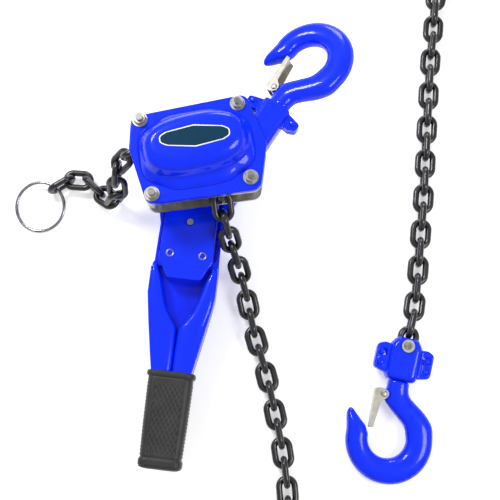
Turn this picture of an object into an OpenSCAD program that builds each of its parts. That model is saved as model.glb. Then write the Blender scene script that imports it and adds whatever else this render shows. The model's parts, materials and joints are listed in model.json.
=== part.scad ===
// Lever chain hoist, lying on its hand wheel with the load chain laid out beside it.
// Origin: drive shaft axis at the surface it rests on. +Z up, towards the gear cover. Millimetres.

/* [Load chain] */
// Diameter of the wire of one link
chain_wire = 8; // [6.4:0.1:9.6]
// Inside length of one link, the pitch of the taut chain
link_inner = 24; // [22:0.1:29]
// Inside width of one link
link_gap = 11; // [10.4:0.1:13.2]
// Play between two links that hang in each other
link_play = 0.6; // [0.4:0.1:0.8]

/* [Frame] */
// Turn of the whole body about the drive shaft
body_turn = 10; // [0:1:20]
// Distance between the stay bolts along the body
bolt_span_x = 117; // [108:1:141]
// Distance between the stay bolts across the body
bolt_span_y = 92; // [88:1:111]
// Thickness of each side plate
plate_t = 4; // [3:0.5:6]
// Room at each side of a flat link between the plates
chain_side = 3.5; // [3:0.5:5]
// Radius of the shoulders of the stay bolts
stay_r = 8; // [6.5:0.5:8.5]
// Radius of the threaded ends of the stay bolts
stud_r = 4; // [3:0.5:5]

/* [Gear cover] */
// Height of the flange that the corner nuts hold down
flange_h = 7; // [5:0.5:10]
// Height of the plateau above the flange
plateau_h = 8; // [6:0.5:12]
// Height of the dome above the plateau
dome_h = 20; // [16:1:26]

/* [Hand wheel and lever] */
// Radius of the hand wheel over its lobes
wheel_r = 52; // [44:1:62]
// Thickness of the hand wheel
wheel_h = 24; // [20:1:29]
// Depth of the lever's pressed channel
lever_h = 32; // [27:1:38]
// Distance from the shaft to the end of the grip
lever_len = 373; // [340:1:448]
// Width of the rubber grip
grip_w = 54; // [46:1:60]
// Height of the brake cover
brake_h = 18; // [15:0.5:22]
// Radius of the brake cover's cup
cup_r = 57; // [50:1:60]

/* [Gears] */
// Tooth size of all four gear pairs
gear_module = 2; // [1.7:0.1:2.1]
// Teeth of the drive pinion and of the small idler wheels
pinion_teeth = 10; // [9:1:11]
// Teeth of the load gear and of the large idler wheels
wheel_teeth = 22; // [20:1:23]
// Pressure angle
gear_angle = 25; // [20:1:27]
// Face width of a gear
gear_w = 11; // [8:0.5:12]
// Radius of the drive shaft
shaft_r = 7; // [6:0.5:8]

/* [Hooks] */
// Inside radius of the bowl
bowl_r = 23.2; // [20:0.1:28]
// Width of the bowl where it is heaviest
bowl_w = 33; // [27:0.5:39]
// Thickness of the bowl
bowl_t = 26; // [22:0.5:30]
// Distance from the pin of a block to the centre of its hook's bowl
hook_reach = 114.5; // [110:0.5:137]
// The same distance on the top yoke, which reaches out of the frame
top_reach = 124.5; // [120:0.5:147]
// Radius of the shank
shank_r = 9; // [7.5:0.5:10]
// Thickness of the two block halves together
block_t = 33; // [30:0.5:33]
// Radius of the pin that carries the chain or the frame
pin_r = 4.8; // [4:0.1:5]
// Turn of the top hook's axis from the X axis
top_turn = 57; // [50:1:62]
// Roll of the top hook about its shank
top_roll = 202; // [180:1:210]
// Turn of the bottom block about its chain pin
bottom_turn = -13.5; // [-20:0.5:0]

/* [Tail ring] */
// Radius of the ring to the middle of its wire
ring_r = 31.5; // [27:0.5:38]
// Radius of the ring's wire
ring_wire = 2.2; // [1.8:0.1:3]

/* [Clearances] */
// Radial clearance of a running fit
run_gap = 0.06; // [0.02:0.01:0.1]
// Gap at a loose seat
seat_gap = 0.3; // [0.2:0.1:0.4]
// Thinning of each tooth flank for backlash
backlash = 0.12; // [0.08:0.01:0.2]

/* [Hidden] */
$fn = 40;

// Colours
paint = "#1437ff";
zinc = "#b9b7ae";
steel = "#8c8f94";
black_steel = "#1d1e20";
rubber = "#1b1b1c";

// Chain link
link_outer = link_inner + 2 * chain_wire;
link_wide = link_gap + 2 * chain_wire;
link_step = link_inner - link_play;

// Heights of the stack, from the surface up
lever_z = max(wheel_h + 2, link_wide + 1);
lever_top = lever_z + lever_h;
brake_z = lever_top + 2;
back_z = brake_z + brake_h;
gap_z = back_z + plate_t;
gap_h = link_wide + 2 * chain_side;
front_z = gap_z + gap_h;
cover_z = front_z + plate_t;
flange_z = cover_z + flange_h;
plateau_z = flange_z + plateau_h;
dome_z = plateau_z + dome_h;
chain_z = gap_z + gap_h / 2;
gear_z1 = cover_z + 2;
gear_z2 = gear_z1 + gear_w + 1.5;
cover_roof = gear_z2 + gear_w + 1;

// Stay bolts
bolt_x = bolt_span_x / 2;
bolt_y = bolt_span_y / 2;
bolt_places = [for (x = [-1, 1]) for (y = [-1, 1]) [x * bolt_x, y * bolt_y]];

// Outline of the side plates and of the cover's flange, about the drive shaft
frame_corners = [
    [-bolt_x - 10, bolt_y + 6], [-bolt_x - 18.5, 13], [-bolt_x - 8, -bolt_y - 11],
    [bolt_x + 9, -bolt_y - 16], [bolt_x + 26, -8], [bolt_x + 12, bolt_y + 10.5]
];

// Sheave: ten links make one turn
sheave_r = link_step / 2 / sin(18);
link_mid_r = sheave_r * cos(18);
sheave_start = -18;
sheave_links = 5;

// Gears
centre_gap = gear_module * (pinion_teeth + wheel_teeth) / 2;
hex_r = shaft_r * 0.95;
journal_r = shaft_r + 7;
bearing_r = journal_r + 5;
idler_r = 5;

// Where the pin of the top yoke stands, beside the sheave
top_pin_place = [bolt_x + 12.5, 3.7];
top_pin_r = 7;
pin_head_r = 9.5;
plate_hole_r = top_pin_r + run_gap;

// Routes of the chain's free strands, centre of the wire, chosen by hand
load_route = [
    [32, -34, 101], [31, -56, 100], [35, -80, 86], [44, -107, 54], [55, -139, 26], [63, -172, 14],
    [70, -205, 13.5], [84, -253, 13.5], [94, -297, 13.5], [103, -342, 13.5], [109, -386, 13.5],
    [113, -430, 13.5], [124, -472, 13.5], [150, -503, 13.5], [195, -511, 13.5], [245, -503, 13.5],
    [295, -484, 13.5], [342, -464, 13.5], [380, -434, 13.5], [406, -392, 13.5], [422, -340, 13.5],
    [429, -280, 13.5], [436, -200, 13.5], [437, -120, 13.5], [437, -40, 13.5], [437, 40, 13.5],
    [437, 120, 13.5], [435, 200, 13.5], [424, 250, 13.5], [401, 284, 13.5], [364, 295, 13.5],
    [334, 283, 13.5], [317, 258, 13.5], [311, 230, 13.5], [309, 203, 13.5], [303, 155, 13.5],
    [299, 107, 13.5], [295, 60, 13.5], [291, 10, 13.5], [287, -35, 13.5], [282, -80, 13.5],
    [277, -127, 13.5], [271, -172, 15], [265, -196, 19.6], [259, -219, 20], [254, -240, 20]
];
tail_route = [
    [-60, 4, 101], [-82, 0, 100], [-100, -11, 77], [-100, -29, 51], [-106, -38, 25],
    [-123, -29, 15.2], [-138, -12, 13.5], [-155, -5, 13.5], [-174, -8, 13.5], [-189, -19, 13.5], [-203, -36, 13.5]
];

// ---- Geometry helpers ----

function unit(v) = v / norm(v);
function turned(p, a) = [p[0] * cos(a) - p[1] * sin(a), p[0] * sin(a) + p[1] * cos(a)];

// Points of an arc of radius r that rounds corner p between its neighbours a and b
function corner_arc(a, p, b, r, steps) =
    let (
        u = unit(a - p),
        w = unit(b - p),
        half = acos(u * w) / 2,
        centre = p + unit(u + w) * r / sin(half),
        start = p + u * r / tan(half) - centre,
        turn = sign(cross(w, u)) * (180 - 2 * half)
    )
    [for (i = [0 : steps]) centre + turned(start, turn * i / steps)];

// A closed outline with every corner rounded to radius r
function rounded(points, r, steps = 6) =
    let (n = len(points))
    [
        for (i = [0 : n - 1])
            each corner_arc(points[(i + n - 1) % n], points[i], points[(i + 1) % n], r, steps)
    ];

// A smooth curve through hand-set points, as short straight steps
function curve_point(a, b, c, d, t) =
    0.5 * (2 * b + (c - a) * t + (2 * a - 5 * b + 4 * c - d) * t * t + (3 * b - a - 3 * c + d) * t * t * t);
function smooth(p, steps) =
    let (n = len(p))
    [
        for (i = [0 : n - 2])
            for (k = [0 : steps - 1])
                curve_point(p[max(i - 1, 0)], p[i], p[i + 1], p[min(i + 2, n - 1)], k / steps),
        p[n - 1]
    ];

// The first place along a path from index i where it is one step away from p
function next_index(path, i, p, step) =
    i >= len(path) ? -1 : norm(path[i] - p) >= step ? i : next_index(path, i + 1, p, step);
function between(path, i, p, step) =
    let (near = norm(path[i - 1] - p), far = norm(path[i] - p))
    path[i - 1] + (path[i] - path[i - 1]) * (step - near) / (far - near);

// Joints of a chain of equal steps laid along a path
function chain_joints(path, p, step, i = 1) =
    let (ahead = next_index(path, i, p, step))
    ahead < 0 ? [p] : concat([p], chain_joints(path, between(path, ahead, p, step), step, ahead));

// A skin over rings that all have the same number of points, closed flat at both ends
module skin(rings) {
    n = len(rings[0]);
    m = len(rings);
    points = [for (ring = rings) each ring];
    sides = [
        for (j = [0 : m - 2])
            for (i = [0 : n - 1])
                let (k = (i + 1) % n)
                each [
                    [j * n + i, (j + 1) * n + i, j * n + k],
                    [j * n + k, (j + 1) * n + i, (j + 1) * n + k]
                ]
    ];
    caps = [[for (i = [0 : n - 1]) i], [for (i = [n - 1 : -1 : 0]) (m - 1) * n + i]];
    polyhedron(points = points, faces = concat(sides, caps), convexity = 6);
}

module hex_prism(flat_r, h) cylinder(r = flat_r / cos(30), h = h, $fn = 6);

module stadium(half_x, r, h) {
    linear_extrude(height = h) {
        square([2 * (half_x - r), 2 * r], center = true);
        for (x = [-1, 1]) translate([x * (half_x - r), 0]) circle(r = r);
    }
}

module in_body() rotate([0, 0, body_turn]) children();

module tube(r_out, r_in, h) {
    difference() {
        cylinder(r = r_out, h = h);
        translate([0, 0, -1]) cylinder(r = r_in, h = h + 2);
    }
}

// ---- Chain ----

// One welded link about its centre, long axis X, lying in XY
module chain_link() {
    bend_r = (link_gap + chain_wire) / 2;
    straight = link_outer / 2 - link_wide / 2;
    for (side = [-1, 1]) {
        translate([side * straight, 0, 0])
            rotate([0, 0, side > 0 ? -90 : 90])
                rotate_extrude(angle = 180) translate([bend_r, 0]) circle(d = chain_wire, $fn = 24);
        translate([-straight, side * bend_r, 0])
            rotate([0, 90, 0]) cylinder(d = chain_wire, h = 2 * straight, $fn = 24);
    }
}

// Links between the joints, each rolled a quarter turn from the last
module chain_run(joints, first_roll, drift = 0, wave = 30) {
    for (k = [0 : len(joints) - 2]) {
        step = joints[k + 1] - joints[k];
        flat = norm([step[0], step[1]]);
        translate((joints[k] + joints[k + 1]) / 2)
            rotate([0, -atan2(step[2], flat), atan2(step[1], step[0])])
                rotate([first_roll + 90 * k + drift * sin(wave * k), 0, 0]) chain_link();
    }
}

// ---- Frame ----

module frame_outline(grow = 0) {
    middle = [3, -3];
    corners = [for (p = frame_corners) p + unit(p - middle) * grow];
    polygon(rounded(corners, 11 + grow));
}

module side_plate(bore_r) {
    difference() {
        linear_extrude(height = plate_t) frame_outline();
        for (p = bolt_places) translate([p[0], p[1], -1]) cylinder(r = stud_r + seat_gap, h = plate_t + 2);
        translate([0, 0, -1]) cylinder(r = bore_r, h = plate_t + 2);
        translate([top_pin_place[0], top_pin_place[1], -1]) cylinder(r = plate_hole_r, h = plate_t + 2);
    }
}

module front_side_plate() {
    color(zinc) in_body() translate([0, 0, front_z]) difference() {
        side_plate(bearing_r + run_gap);
        for (x = [-1, 1])
            translate([x * centre_gap, 0, -1]) cylinder(r = idler_r + run_gap, h = plate_t + 2);
        for (p = guide_places) translate([p[0], p[1], -1]) cylinder(r = guide_pin_r + run_gap, h = plate_t + 2);
    }
}

module back_side_plate() {
    color(zinc) in_body() translate([0, 0, back_z]) difference() {
        side_plate(bearing_r + run_gap);
        for (p = guide_places) translate([p[0], p[1], -1]) cylinder(r = guide_pin_r + run_gap, h = plate_t + 2);
        for (p = pawl_places) translate([p[0], p[1], -1]) cylinder(r = pawl_pin_r + run_gap, h = plate_t + 2);
    }
}

module stay_bolts() {
    stud_foot = back_z - flange_t - rear_nut_h - 2;
    stud_top = flange_z + washer_t + nut_h + 4;
    color(steel) in_body() for (p = bolt_places) translate([p[0], p[1], 0]) {
        translate([0, 0, gap_z]) cylinder(r = stay_r, h = gap_h);
        translate([0, 0, stud_foot])
            cylinder(r = stud_r, h = stud_top - stud_foot);
    }
}

washer_t = 1.6;
washer_r = 9;
nut_h = 6.5;
nut_flat = 6.5;
rear_nut_h = 5;
flange_t = 3;

module cover_washers() {
    color(zinc) in_body() for (p = bolt_places) translate([p[0], p[1], flange_z])
        tube(washer_r, stud_r + run_gap, washer_t);
}

module nut(h, bore_r) {
    difference() {
        intersection() {
            hex_prism(nut_flat, h);
            rotate_extrude($fn = 48)
                polygon([[0, 0], [nut_flat * 1.1, 0], [nut_flat * 1.17, 1], [nut_flat * 1.17, h - 1.2],
                    [nut_flat * 0.98, h], [0, h]]);
        }
        translate([0, 0, -1]) cylinder(r = bore_r, h = h + 2);
    }
}

module cover_nuts() {
    color(zinc) in_body() for (i = [0 : 3])
        translate(concat(bolt_places[i], [flange_z + washer_t])) rotate([0, 0, 17 * i])
            nut(nut_h, stud_r + run_gap);
}

module rear_nuts() {
    color(zinc) in_body() for (p = bolt_places)
        translate([p[0], p[1], back_z - flange_t - rear_nut_h]) nut(rear_nut_h, stud_r + run_gap);
}

// Guide rollers at each side of the strand that leaves under load
guide_r = 5;
guide_pin_r = 3;
guide_offset = link_wide / 2 + guide_r + 0.8;
guide_places = [for (side = [-1, 1]) [22.5 + side * guide_offset, -bolt_y - 2.5]];

module guide_rollers() {
    color(steel) in_body() for (p = guide_places) translate([p[0], p[1], 0]) {
        translate([0, 0, gap_z + seat_gap]) cylinder(r = guide_r, h = gap_h - 2 * seat_gap);
        translate([0, 0, back_z]) cylinder(r = guide_pin_r, h = gap_h + 2 * plate_t);
    }
}

// The stripper stands behind the sheave and keeps the chain from following it round
module chain_stripper() {
    width = 20;
    tongue_w = chain_wire - 1;
    color(zinc) in_body() translate([-bolt_x + 26, -bolt_y + 8, gap_z]) {
        translate([-width / 2, -6, 0]) cube([width, 4, gap_h]);
        translate([-2, -2, gap_h / 2 - tongue_w / 2]) linear_extrude(height = tongue_w)
            polygon([[-8, -1], [8, -1], [9, 5], [2, 9], [-6, 4]]);
    }
}

// ---- Gear cover ----

// Outline of the cover at one level: half sizes, squareness, bite round the bolts and turn
function cover_ring(half, power, bite, twist, z) = [
    for (i = [0 : 71])
        let (
            a = i * 5,
            c = cos(a),
            s = sin(a),
            r = pow(pow(abs(c) / half[0], power) + pow(abs(s) / half[1], power), -1 / power),
            bolt_a = atan2(bolt_y, bolt_x),
            off = min([for (b = [bolt_a, 180 - bolt_a, 180 + bolt_a, 360 - bolt_a]) abs(a - b)]),
            cut = bite * exp(-pow(off / 9, 2)),
            p = turned([(r - cut) * c, (r - cut) * s], twist)
        )
        [p[0], p[1], z]
];

module gear_cover() {
    plateau = [bolt_x + 12.5, bolt_y + 0.5];
    dome = [bolt_x + 3.5, bolt_y - 9.5];
    d = dome_z - plateau_z;
    color(paint) in_body() difference() {
        union() {
            translate([0, 0, cover_z]) linear_extrude(height = flange_h - 1.5) frame_outline();
            translate([0, 0, flange_z - 1.5]) linear_extrude(height = 1.5) frame_outline(-1);
            skin([
                cover_ring(plateau, 3.2, 13, 0, flange_z - 2),
                cover_ring(plateau - [1, 1], 3.2, 13, 0, flange_z + 0.45 * plateau_h),
                cover_ring(plateau - [3, 3], 3.1, 12, 0.5, flange_z + 0.8 * plateau_h),
                cover_ring(plateau - [6, 6.5], 3, 9, 1.2, plateau_z),
                cover_ring(dome, 2.8, 3, 2.2, plateau_z + 0.06 * d),
                cover_ring(dome - [2.5, 2.5], 2.7, 0, 3, plateau_z + 0.3 * d),
                cover_ring(dome - [4.5, 4.5], 2.6, 0, 3.5, plateau_z + 0.66 * d),
                cover_ring(dome - [6.5, 6.5], 2.6, 0, 3.5, plateau_z + 0.86 * d),
                cover_ring(dome - [9.5, 9.5], 2.5, 0, 3.5, plateau_z + 0.96 * d),
                cover_ring(dome - [14, 14], 2.4, 0, 3.5, dome_z)
            ]);
        }
        translate([0, 0, cover_z - 1]) stadium(centre_gap + gear_tip + 6, gear_tip + 9, flange_h + 4);
        translate([0, 0, cover_z - 1]) stadium(centre_gap + gear_tip + 2, gear_tip + 2.5, cover_roof - cover_z + 1);
        for (x = [-1, 0, 1]) translate([x * centre_gap, 0, cover_roof - 1])
            cylinder(r = (x == 0 ? shaft_end_r : idler_r) + run_gap, h = 5);
        for (p = bolt_places) translate([p[0], p[1], cover_z - 1])
            cylinder(r = stud_r + seat_gap, h = flange_h + 2);
        translate([top_pin_place[0], top_pin_place[1], cover_z - 1]) cylinder(r = pin_head_r + seat_gap, h = 4);
    }
}

// ---- Gears ----

// Involute gear as a flat-faced polygon: one flank is traced and mirrored about its tooth
function involute(base_r, r) = let (t = sqrt(max(pow(r / base_r, 2) - 1, 0))) t * 180 / PI - atan(t);
function gear_points(teeth, steps = 4) =
    let (
        pitch_r = gear_module * teeth / 2,
        base_r = pitch_r * cos(gear_angle),
        tip_r = pitch_r + 0.8 * gear_module,
        root_r = pitch_r - 1.05 * gear_module,
        low_r = max(root_r, base_r),
        half = 90 / teeth + involute(base_r, pitch_r) - backlash * 180 / PI / pitch_r,
        flank = [for (k = [0 : steps]) let (r = low_r + (tip_r - low_r) * k / steps) [r, half - involute(base_r, r)]],
        root = [root_r, min(half - involute(base_r, low_r) + 1, 180 / teeth - 0.5)]
    )
    [
        for (i = [0 : teeth - 1])
            let (mid = i * 360 / teeth)
            each concat(
                [[root[0] * cos(mid - root[1]), root[0] * sin(mid - root[1])]],
                [for (p = flank) [p[0] * cos(mid - p[1]), p[0] * sin(mid - p[1])]],
                [for (k = [steps : -1 : 0]) let (p = flank[k]) [p[0] * cos(mid + p[1]), p[0] * sin(mid + p[1])]],
                [[root[0] * cos(mid + root[1]), root[0] * sin(mid + root[1])]]
            )
    ];
gear_tip = gear_module * (wheel_teeth / 2 + 0.8);
shaft_end_r = shaft_r * 0.7;

module gear(teeth, turn, hex_flat) {
    difference() {
        linear_extrude(height = gear_w) rotate([0, 0, turn]) polygon(gear_points(teeth));
        translate([0, 0, -1]) hex_prism(hex_flat + run_gap, gear_w + 2);
    }
}

idler_hex = 4.6;
load_hex = shaft_r + 4;

module load_gear() {
    color(steel) in_body() translate([0, 0, gear_z1]) gear(wheel_teeth, 180 / wheel_teeth, load_hex);
}

module drive_pinion() {
    color(steel) in_body() translate([0, 0, gear_z2]) gear(pinion_teeth, 0, idler_hex);
}

module idler_place(side) in_body() translate([side * centre_gap, 0, 0]) children();

module idler_gear(side) {
    color(steel) idler_place(side) translate([0, 0, gear_z2]) gear(wheel_teeth, 180 / wheel_teeth, idler_hex);
}

module idler_pinion(side) {
    color(steel) idler_place(side) translate([0, 0, gear_z1]) gear(pinion_teeth, 0, idler_hex);
}

module idler_shaft(side) {
    color(steel) idler_place(side) {
        translate([0, 0, front_z + 0.5]) cylinder(r = idler_r, h = gear_z1 - front_z - 0.5);
        translate([0, 0, gear_z1]) hex_prism(idler_hex, gear_z2 + gear_w - gear_z1);
        translate([0, 0, gear_z2 + gear_w]) cylinder(r = idler_r, h = cover_roof + 3 - gear_z2 - gear_w);
    }
}

module idler_gear_1() idler_gear(1);
module idler_pinion_1() idler_pinion(1);
module idler_shaft_1() idler_shaft(1);
module idler_gear_2() idler_gear(-1);
module idler_pinion_2() idler_pinion(-1);
module idler_shaft_2() idler_shaft(-1);

// ---- Sheave ----

module load_sheave() {
    wide = gap_h - 1;
    flange_r = link_mid_r + chain_wire / 2 - 1;
    groove_r = link_mid_r - link_wide / 2 - 0.8;
    groove_w = chain_wire + 3.5;
    pocket_floor = link_mid_r - chain_wire / 2 - 0.4;
    pocket_long = link_outer + 1.2;
    pocket_wide = link_wide + 0.8;
    pocket_flare = 3.5;
    color(black_steel) in_body() difference() {
        union() {
            translate([0, 0, chain_z]) rotate_extrude($fn = 60) polygon([
                [shaft_r + 2, -wide / 2], [flange_r - 1, -wide / 2], [flange_r, 1 - wide / 2],
                [flange_r, -groove_w / 2 - 3], [flange_r - 3, -groove_w / 2], [groove_r, -groove_w / 2],
                [groove_r, groove_w / 2], [flange_r - 3, groove_w / 2], [flange_r, groove_w / 2 + 3],
                [flange_r, wide / 2 - 1], [flange_r - 1, wide / 2], [shaft_r + 2, wide / 2]
            ]);
            translate([0, 0, back_z + 0.5]) cylinder(r = journal_r, h = gear_z1 - back_z - 1);
            translate([0, 0, gear_z1 - 0.5]) hex_prism(load_hex, gear_w + 1);
        }
        translate([0, 0, back_z]) cylinder(r = shaft_r + run_gap, h = gear_z2 - back_z);
        // Five pockets for the links that lie along the shaft, flared where a link tips in and out
        for (i = [0 : 4]) rotate([0, 0, sheave_start + 18 + 72 * i]) {
            translate([pocket_floor, 0, chain_z]) rotate([90, 0, 90])
                stadium(pocket_long / 2, pocket_wide / 2, 30);
            translate([link_mid_r, 0, chain_z]) rotate([90, 0, 90])
                stadium(pocket_long / 2 + pocket_flare, pocket_wide / 2, 30);
        }
    }
}

module front_bearing() {
    color(steel) in_body() translate([0, 0, front_z]) tube(bearing_r, journal_r + run_gap, plate_t);
}

module back_bearing() {
    color(steel) in_body() translate([0, 0, back_z]) tube(bearing_r, journal_r + run_gap, plate_t);
}

// ---- Brake ----

hub_z = back_z - 5.2;
disc_t = 2.4;
ratchet_t = 4.4;
ratchet_z = hub_z - disc_t - ratchet_t - 0.6;
change_z = ratchet_z - disc_t - 4.1;
disc_r = 34;
ratchet_r = 42;
ratchet_teeth = 20;
hub_r = 13;
pawl_pin_r = 3;
pawl_places = [[-46, 16], [46, -16]];
cup_wall = 2.5;

module ratchet_disc() {
    color(steel) in_body() translate([0, 0, ratchet_z]) difference() {
        linear_extrude(height = ratchet_t) polygon([
            for (i = [0 : ratchet_teeth - 1])
                let (a = i * 360 / ratchet_teeth, b = a + 300 / ratchet_teeth)
                each [[(ratchet_r - 4) * cos(a), (ratchet_r - 4) * sin(a)], [ratchet_r * cos(b), ratchet_r * sin(b)]]
        ]);
        translate([0, 0, -1]) cylinder(r = hub_r + seat_gap, h = ratchet_t + 2);
    }
}

module friction_discs() {
    color("#6b5a48") in_body() for (z = [ratchet_z - disc_t - seat_gap, ratchet_z + ratchet_t + seat_gap])
        translate([0, 0, z]) tube(disc_r, hub_r + seat_gap, disc_t);
}

module disc_hub() {
    color(steel) in_body() difference() {
        union() {
            translate([0, 0, hub_z]) cylinder(r = disc_r, h = 5);
            translate([0, 0, ratchet_z - disc_t - 0.6]) cylinder(r = hub_r, h = hub_z - ratchet_z + disc_t + 1);
        }
        translate([0, 0, change_z]) hex_prism(hex_r + run_gap, 30);
    }
}

module brake_pawls() {
    color(steel) in_body() for (i = [0, 1]) translate(concat(pawl_places[i], [0])) rotate([0, 0, 180 * i]) {
        translate([0, 0, ratchet_z]) difference() {
            linear_extrude(height = ratchet_t) polygon([
                [5.5, -6], [3.4, -14.7], [6.8, -16.8], [5.5, -18.6], [-1, -17], [-5.5, -5], [-5, 2], [-2, 5.5], [5, 5]
            ]);
            translate([0, 0, -1]) cylinder(r = pawl_pin_r + run_gap, h = ratchet_t + 2);
        }
        translate([0, 0, ratchet_z - 1.5]) cylinder(r = pawl_pin_r, h = back_z + plate_t - ratchet_z + 1.5);
    }
}

module brake_cover() {
    color(paint) in_body() difference() {
        union() {
            translate([0, 0, back_z - flange_t]) linear_extrude(height = flange_t) frame_outline(-1.5);
            translate([0, 0, brake_z]) rotate_extrude($fn = 72) polygon([
                [30, 0], [cup_r - 5, 0], [cup_r - 1.5, 1.5], [cup_r, 5], [cup_r, brake_h - 2.5],
                [cup_r + 2, brake_h - 0.5], [30, brake_h - 0.5]
            ]);
        }
        translate([0, 0, brake_z + cup_wall]) cylinder(r = cup_r - cup_wall, h = brake_h, $fn = 72);
        translate([0, 0, brake_z - 1]) cylinder(r = disc_r + 3, h = cup_wall + 2);
        for (p = bolt_places) translate([p[0], p[1], back_z - flange_t - 1])
            cylinder(r = stud_r + seat_gap, h = flange_t + 2);
        for (p = bolt_places) translate([p[0], p[1], brake_z - 1])
            cylinder(r = nut_flat * 1.17 + 1, h = brake_h - flange_t + 1);
        translate([top_pin_place[0], top_pin_place[1], back_z - flange_t - 1])
            cylinder(r = pin_head_r + 1, h = flange_t + 2);
    }
}

// ---- Drive shaft and hand wheel ----

gear_boss_r = 17;
wheel_hub_r = 16;
nut_seat = 9.5;
cap_t = 2;

module drive_shaft() {
    color(steel) in_body() {
        translate([0, 0, cap_t + 0.5]) cylinder(r = shaft_r * 0.8, h = nut_seat - cap_t);
        translate([0, 0, nut_seat]) hex_prism(hex_r, hub_z + 5 - nut_seat);
        translate([0, 0, hub_z + 5]) cylinder(r = shaft_r, h = gear_z2 - 1 - hub_z - 5);
        translate([0, 0, gear_z2 - 1]) hex_prism(idler_hex, gear_w + 1);
        translate([0, 0, gear_z2 + gear_w]) cylinder(r = shaft_end_r, h = cover_roof + 3 - gear_z2 - gear_w);
    }
}

// The change gear carries the drive teeth inside the lever and presses on the brake discs
change_teeth = 12;
change_r = 25;
module change_gear() {
    color(steel) in_body() difference() {
        union() {
            translate([0, 0, change_z]) cylinder(r = disc_r, h = 3.5);
            translate([0, 0, lever_z - 1]) cylinder(r = gear_boss_r, h = change_z - lever_z + 2);
            translate([0, 0, lever_z + 7]) difference() {
                cylinder(r = change_r, h = 16);
                for (i = [0 : change_teeth - 1]) rotate([0, 0, (i + 0.5) * 360 / change_teeth])
                    translate([change_r - 4, 0, -1]) rotate([0, 0, 45]) translate([-1.2, -1.2, 0]) cube([9, 9, 18]);
            }
        }
        translate([0, 0, lever_z - 2]) hex_prism(hex_r + run_gap, 60);
    }
}

module hand_wheel() {
    lobes = 6;
    rim = [for (i = [0 : 143]) let (a = i * 2.5, r = wheel_r - 2.2 + 2.2 * cos(lobes * a)) [r * cos(a), r * sin(a)]];
    inner = [for (p = rim) p * (wheel_r - 5) / wheel_r];
    color(paint) difference() {
        union() {
            translate([0, 0, 2]) linear_extrude(height = wheel_h - 4) polygon(rim);
            linear_extrude(height = wheel_h) polygon([for (p = rim) p * (wheel_r - 2) / wheel_r]);
        }
        translate([0, 0, 6]) linear_extrude(height = wheel_h) difference() {
            polygon(inner);
            circle(r = wheel_hub_r);
        }
        translate([0, 0, -1]) cylinder(r = 13, h = nut_seat + 1);
        rotate([0, 0, body_turn]) translate([0, 0, nut_seat - 1]) hex_prism(hex_r + run_gap, wheel_h);
        for (i = [0 : lobes - 1]) rotate([0, 0, 60 * i + 30]) translate([31, 0, -1]) cylinder(r = 8, h = 10);
    }
}

module hand_wheel_cap() {
    color(rubber) cylinder(r = 13 - run_gap, h = cap_t);
}

module hand_wheel_nut() {
    color(zinc) in_body() translate([0, 0, nut_seat - 6.5]) rotate([0, 0, 8]) difference() {
        hex_prism(9.5, 6.5);
        translate([0, 0, -1]) cylinder(r = shaft_r * 0.8 + run_gap, h = 9);
    }
}

// ---- Lever ----

lever_turn = -6.6;
head_r = 60;
head_half = 39;
shoulder_half = 41;
waist_half = 22;
shoulder_y = 133;
seam_y = 198;
grip_len = 116;
grip_h = lever_h + 3;
lever_wall = 5;
lever_floor = 4;
head_plate_t = 2;

module in_lever() rotate([0, 0, lever_turn]) children();

// Half of the lever's outline from the hub down to the grip, then the other half in mirror
function lever_edge() = [
    [head_r, 0], [head_r - 1.3, -12], [head_half + 14, -35], [head_half + 4, -56], [head_half, -74],
    [head_half + 1, -118], [shoulder_half, -shoulder_y], [shoulder_half, -165],
    [shoulder_half - 6, -202], [waist_half + 5, -245], [waist_half, -lever_len + grip_len + 12],
    [waist_half - 2, -lever_len + 12]
];
function mirrored(half) = concat(half, [for (i = [len(half) - 1 : -1 : 0]) [-half[i][0], half[i][1]]]);

module lever_outline(inset = 0) {
    edge = [for (p = lever_edge()) [p[0] - inset, p[1]]];
    arc = [for (a = [174 : -6 : 6]) (head_r - inset) * [cos(a), sin(a)]];
    polygon(concat(mirrored(edge), arc));
}

module lever_arm() {
    color(paint) in_lever() difference() {
        union() {
            translate([0, 0, lever_z + 2]) linear_extrude(height = lever_h - 4) lever_outline();
            translate([0, 0, lever_z]) linear_extrude(height = lever_h) lever_outline(2);
        }
        // Room for the change gear and the pawl, open to the top under the head plate
        translate([0, 0, lever_z + lever_floor]) cylinder(r = head_r - lever_wall, h = lever_h);
        translate([0, 0, lever_z + lever_floor]) linear_extrude(height = lever_h)
            polygon(rounded([
                [-head_half + lever_wall, -20], [-head_half + lever_wall, -118], [-20, -142],
                [20, -142], [head_half - lever_wall, -118], [head_half - lever_wall, -20]
            ], 4));
        // Open trough that narrows to the seam
        translate([0, 0, lever_z + lever_floor]) linear_extrude(height = lever_h)
            polygon(rounded([
                [-24, -130], [-27, -155], [-19, -186], [0, -seam_y - 3], [19, -186], [27, -155], [24, -130]
            ], 6));
        // Seam where the two rims of the channel meet
        translate([-0.6, -lever_len + grip_len - 2, lever_top - 7])
            cube([1.2, lever_len - grip_len - seam_y + 12, 10]);
        translate([0, 0, lever_z - 1]) cylinder(r = gear_boss_r + run_gap, h = lever_floor + 2);
        translate(concat(selector_place, [lever_z - 1])) cylinder(r = selector_r + run_gap, h = lever_floor + 2);
    }
}

selector_place = [0, -74];
selector_r = 4;
rivet_places = [[-20, -114.5], [20, -114.5]];

module lever_plate() {
    color(paint) in_lever() translate([0, 0, lever_top]) difference() {
        linear_extrude(height = head_plate_t) union() {
            polygon(rounded([
                [-head_half + 3, -10], [-head_half + 3, -122], [-21, -145], [21, -145],
                [head_half - 3, -122], [head_half - 3, -10]
            ], 5));
            circle(r = head_r - 4);
        }
        translate([0, 0, -1]) cylinder(r = disc_r + 1.5, h = head_plate_t + 2);
        translate(concat(selector_place, [-1])) cylinder(r = selector_r + run_gap, h = head_plate_t + 2);
        for (p = rivet_places) translate([p[0], p[1], -1]) cylinder(r = 3 + run_gap, h = head_plate_t + 2);
    }
}

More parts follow.
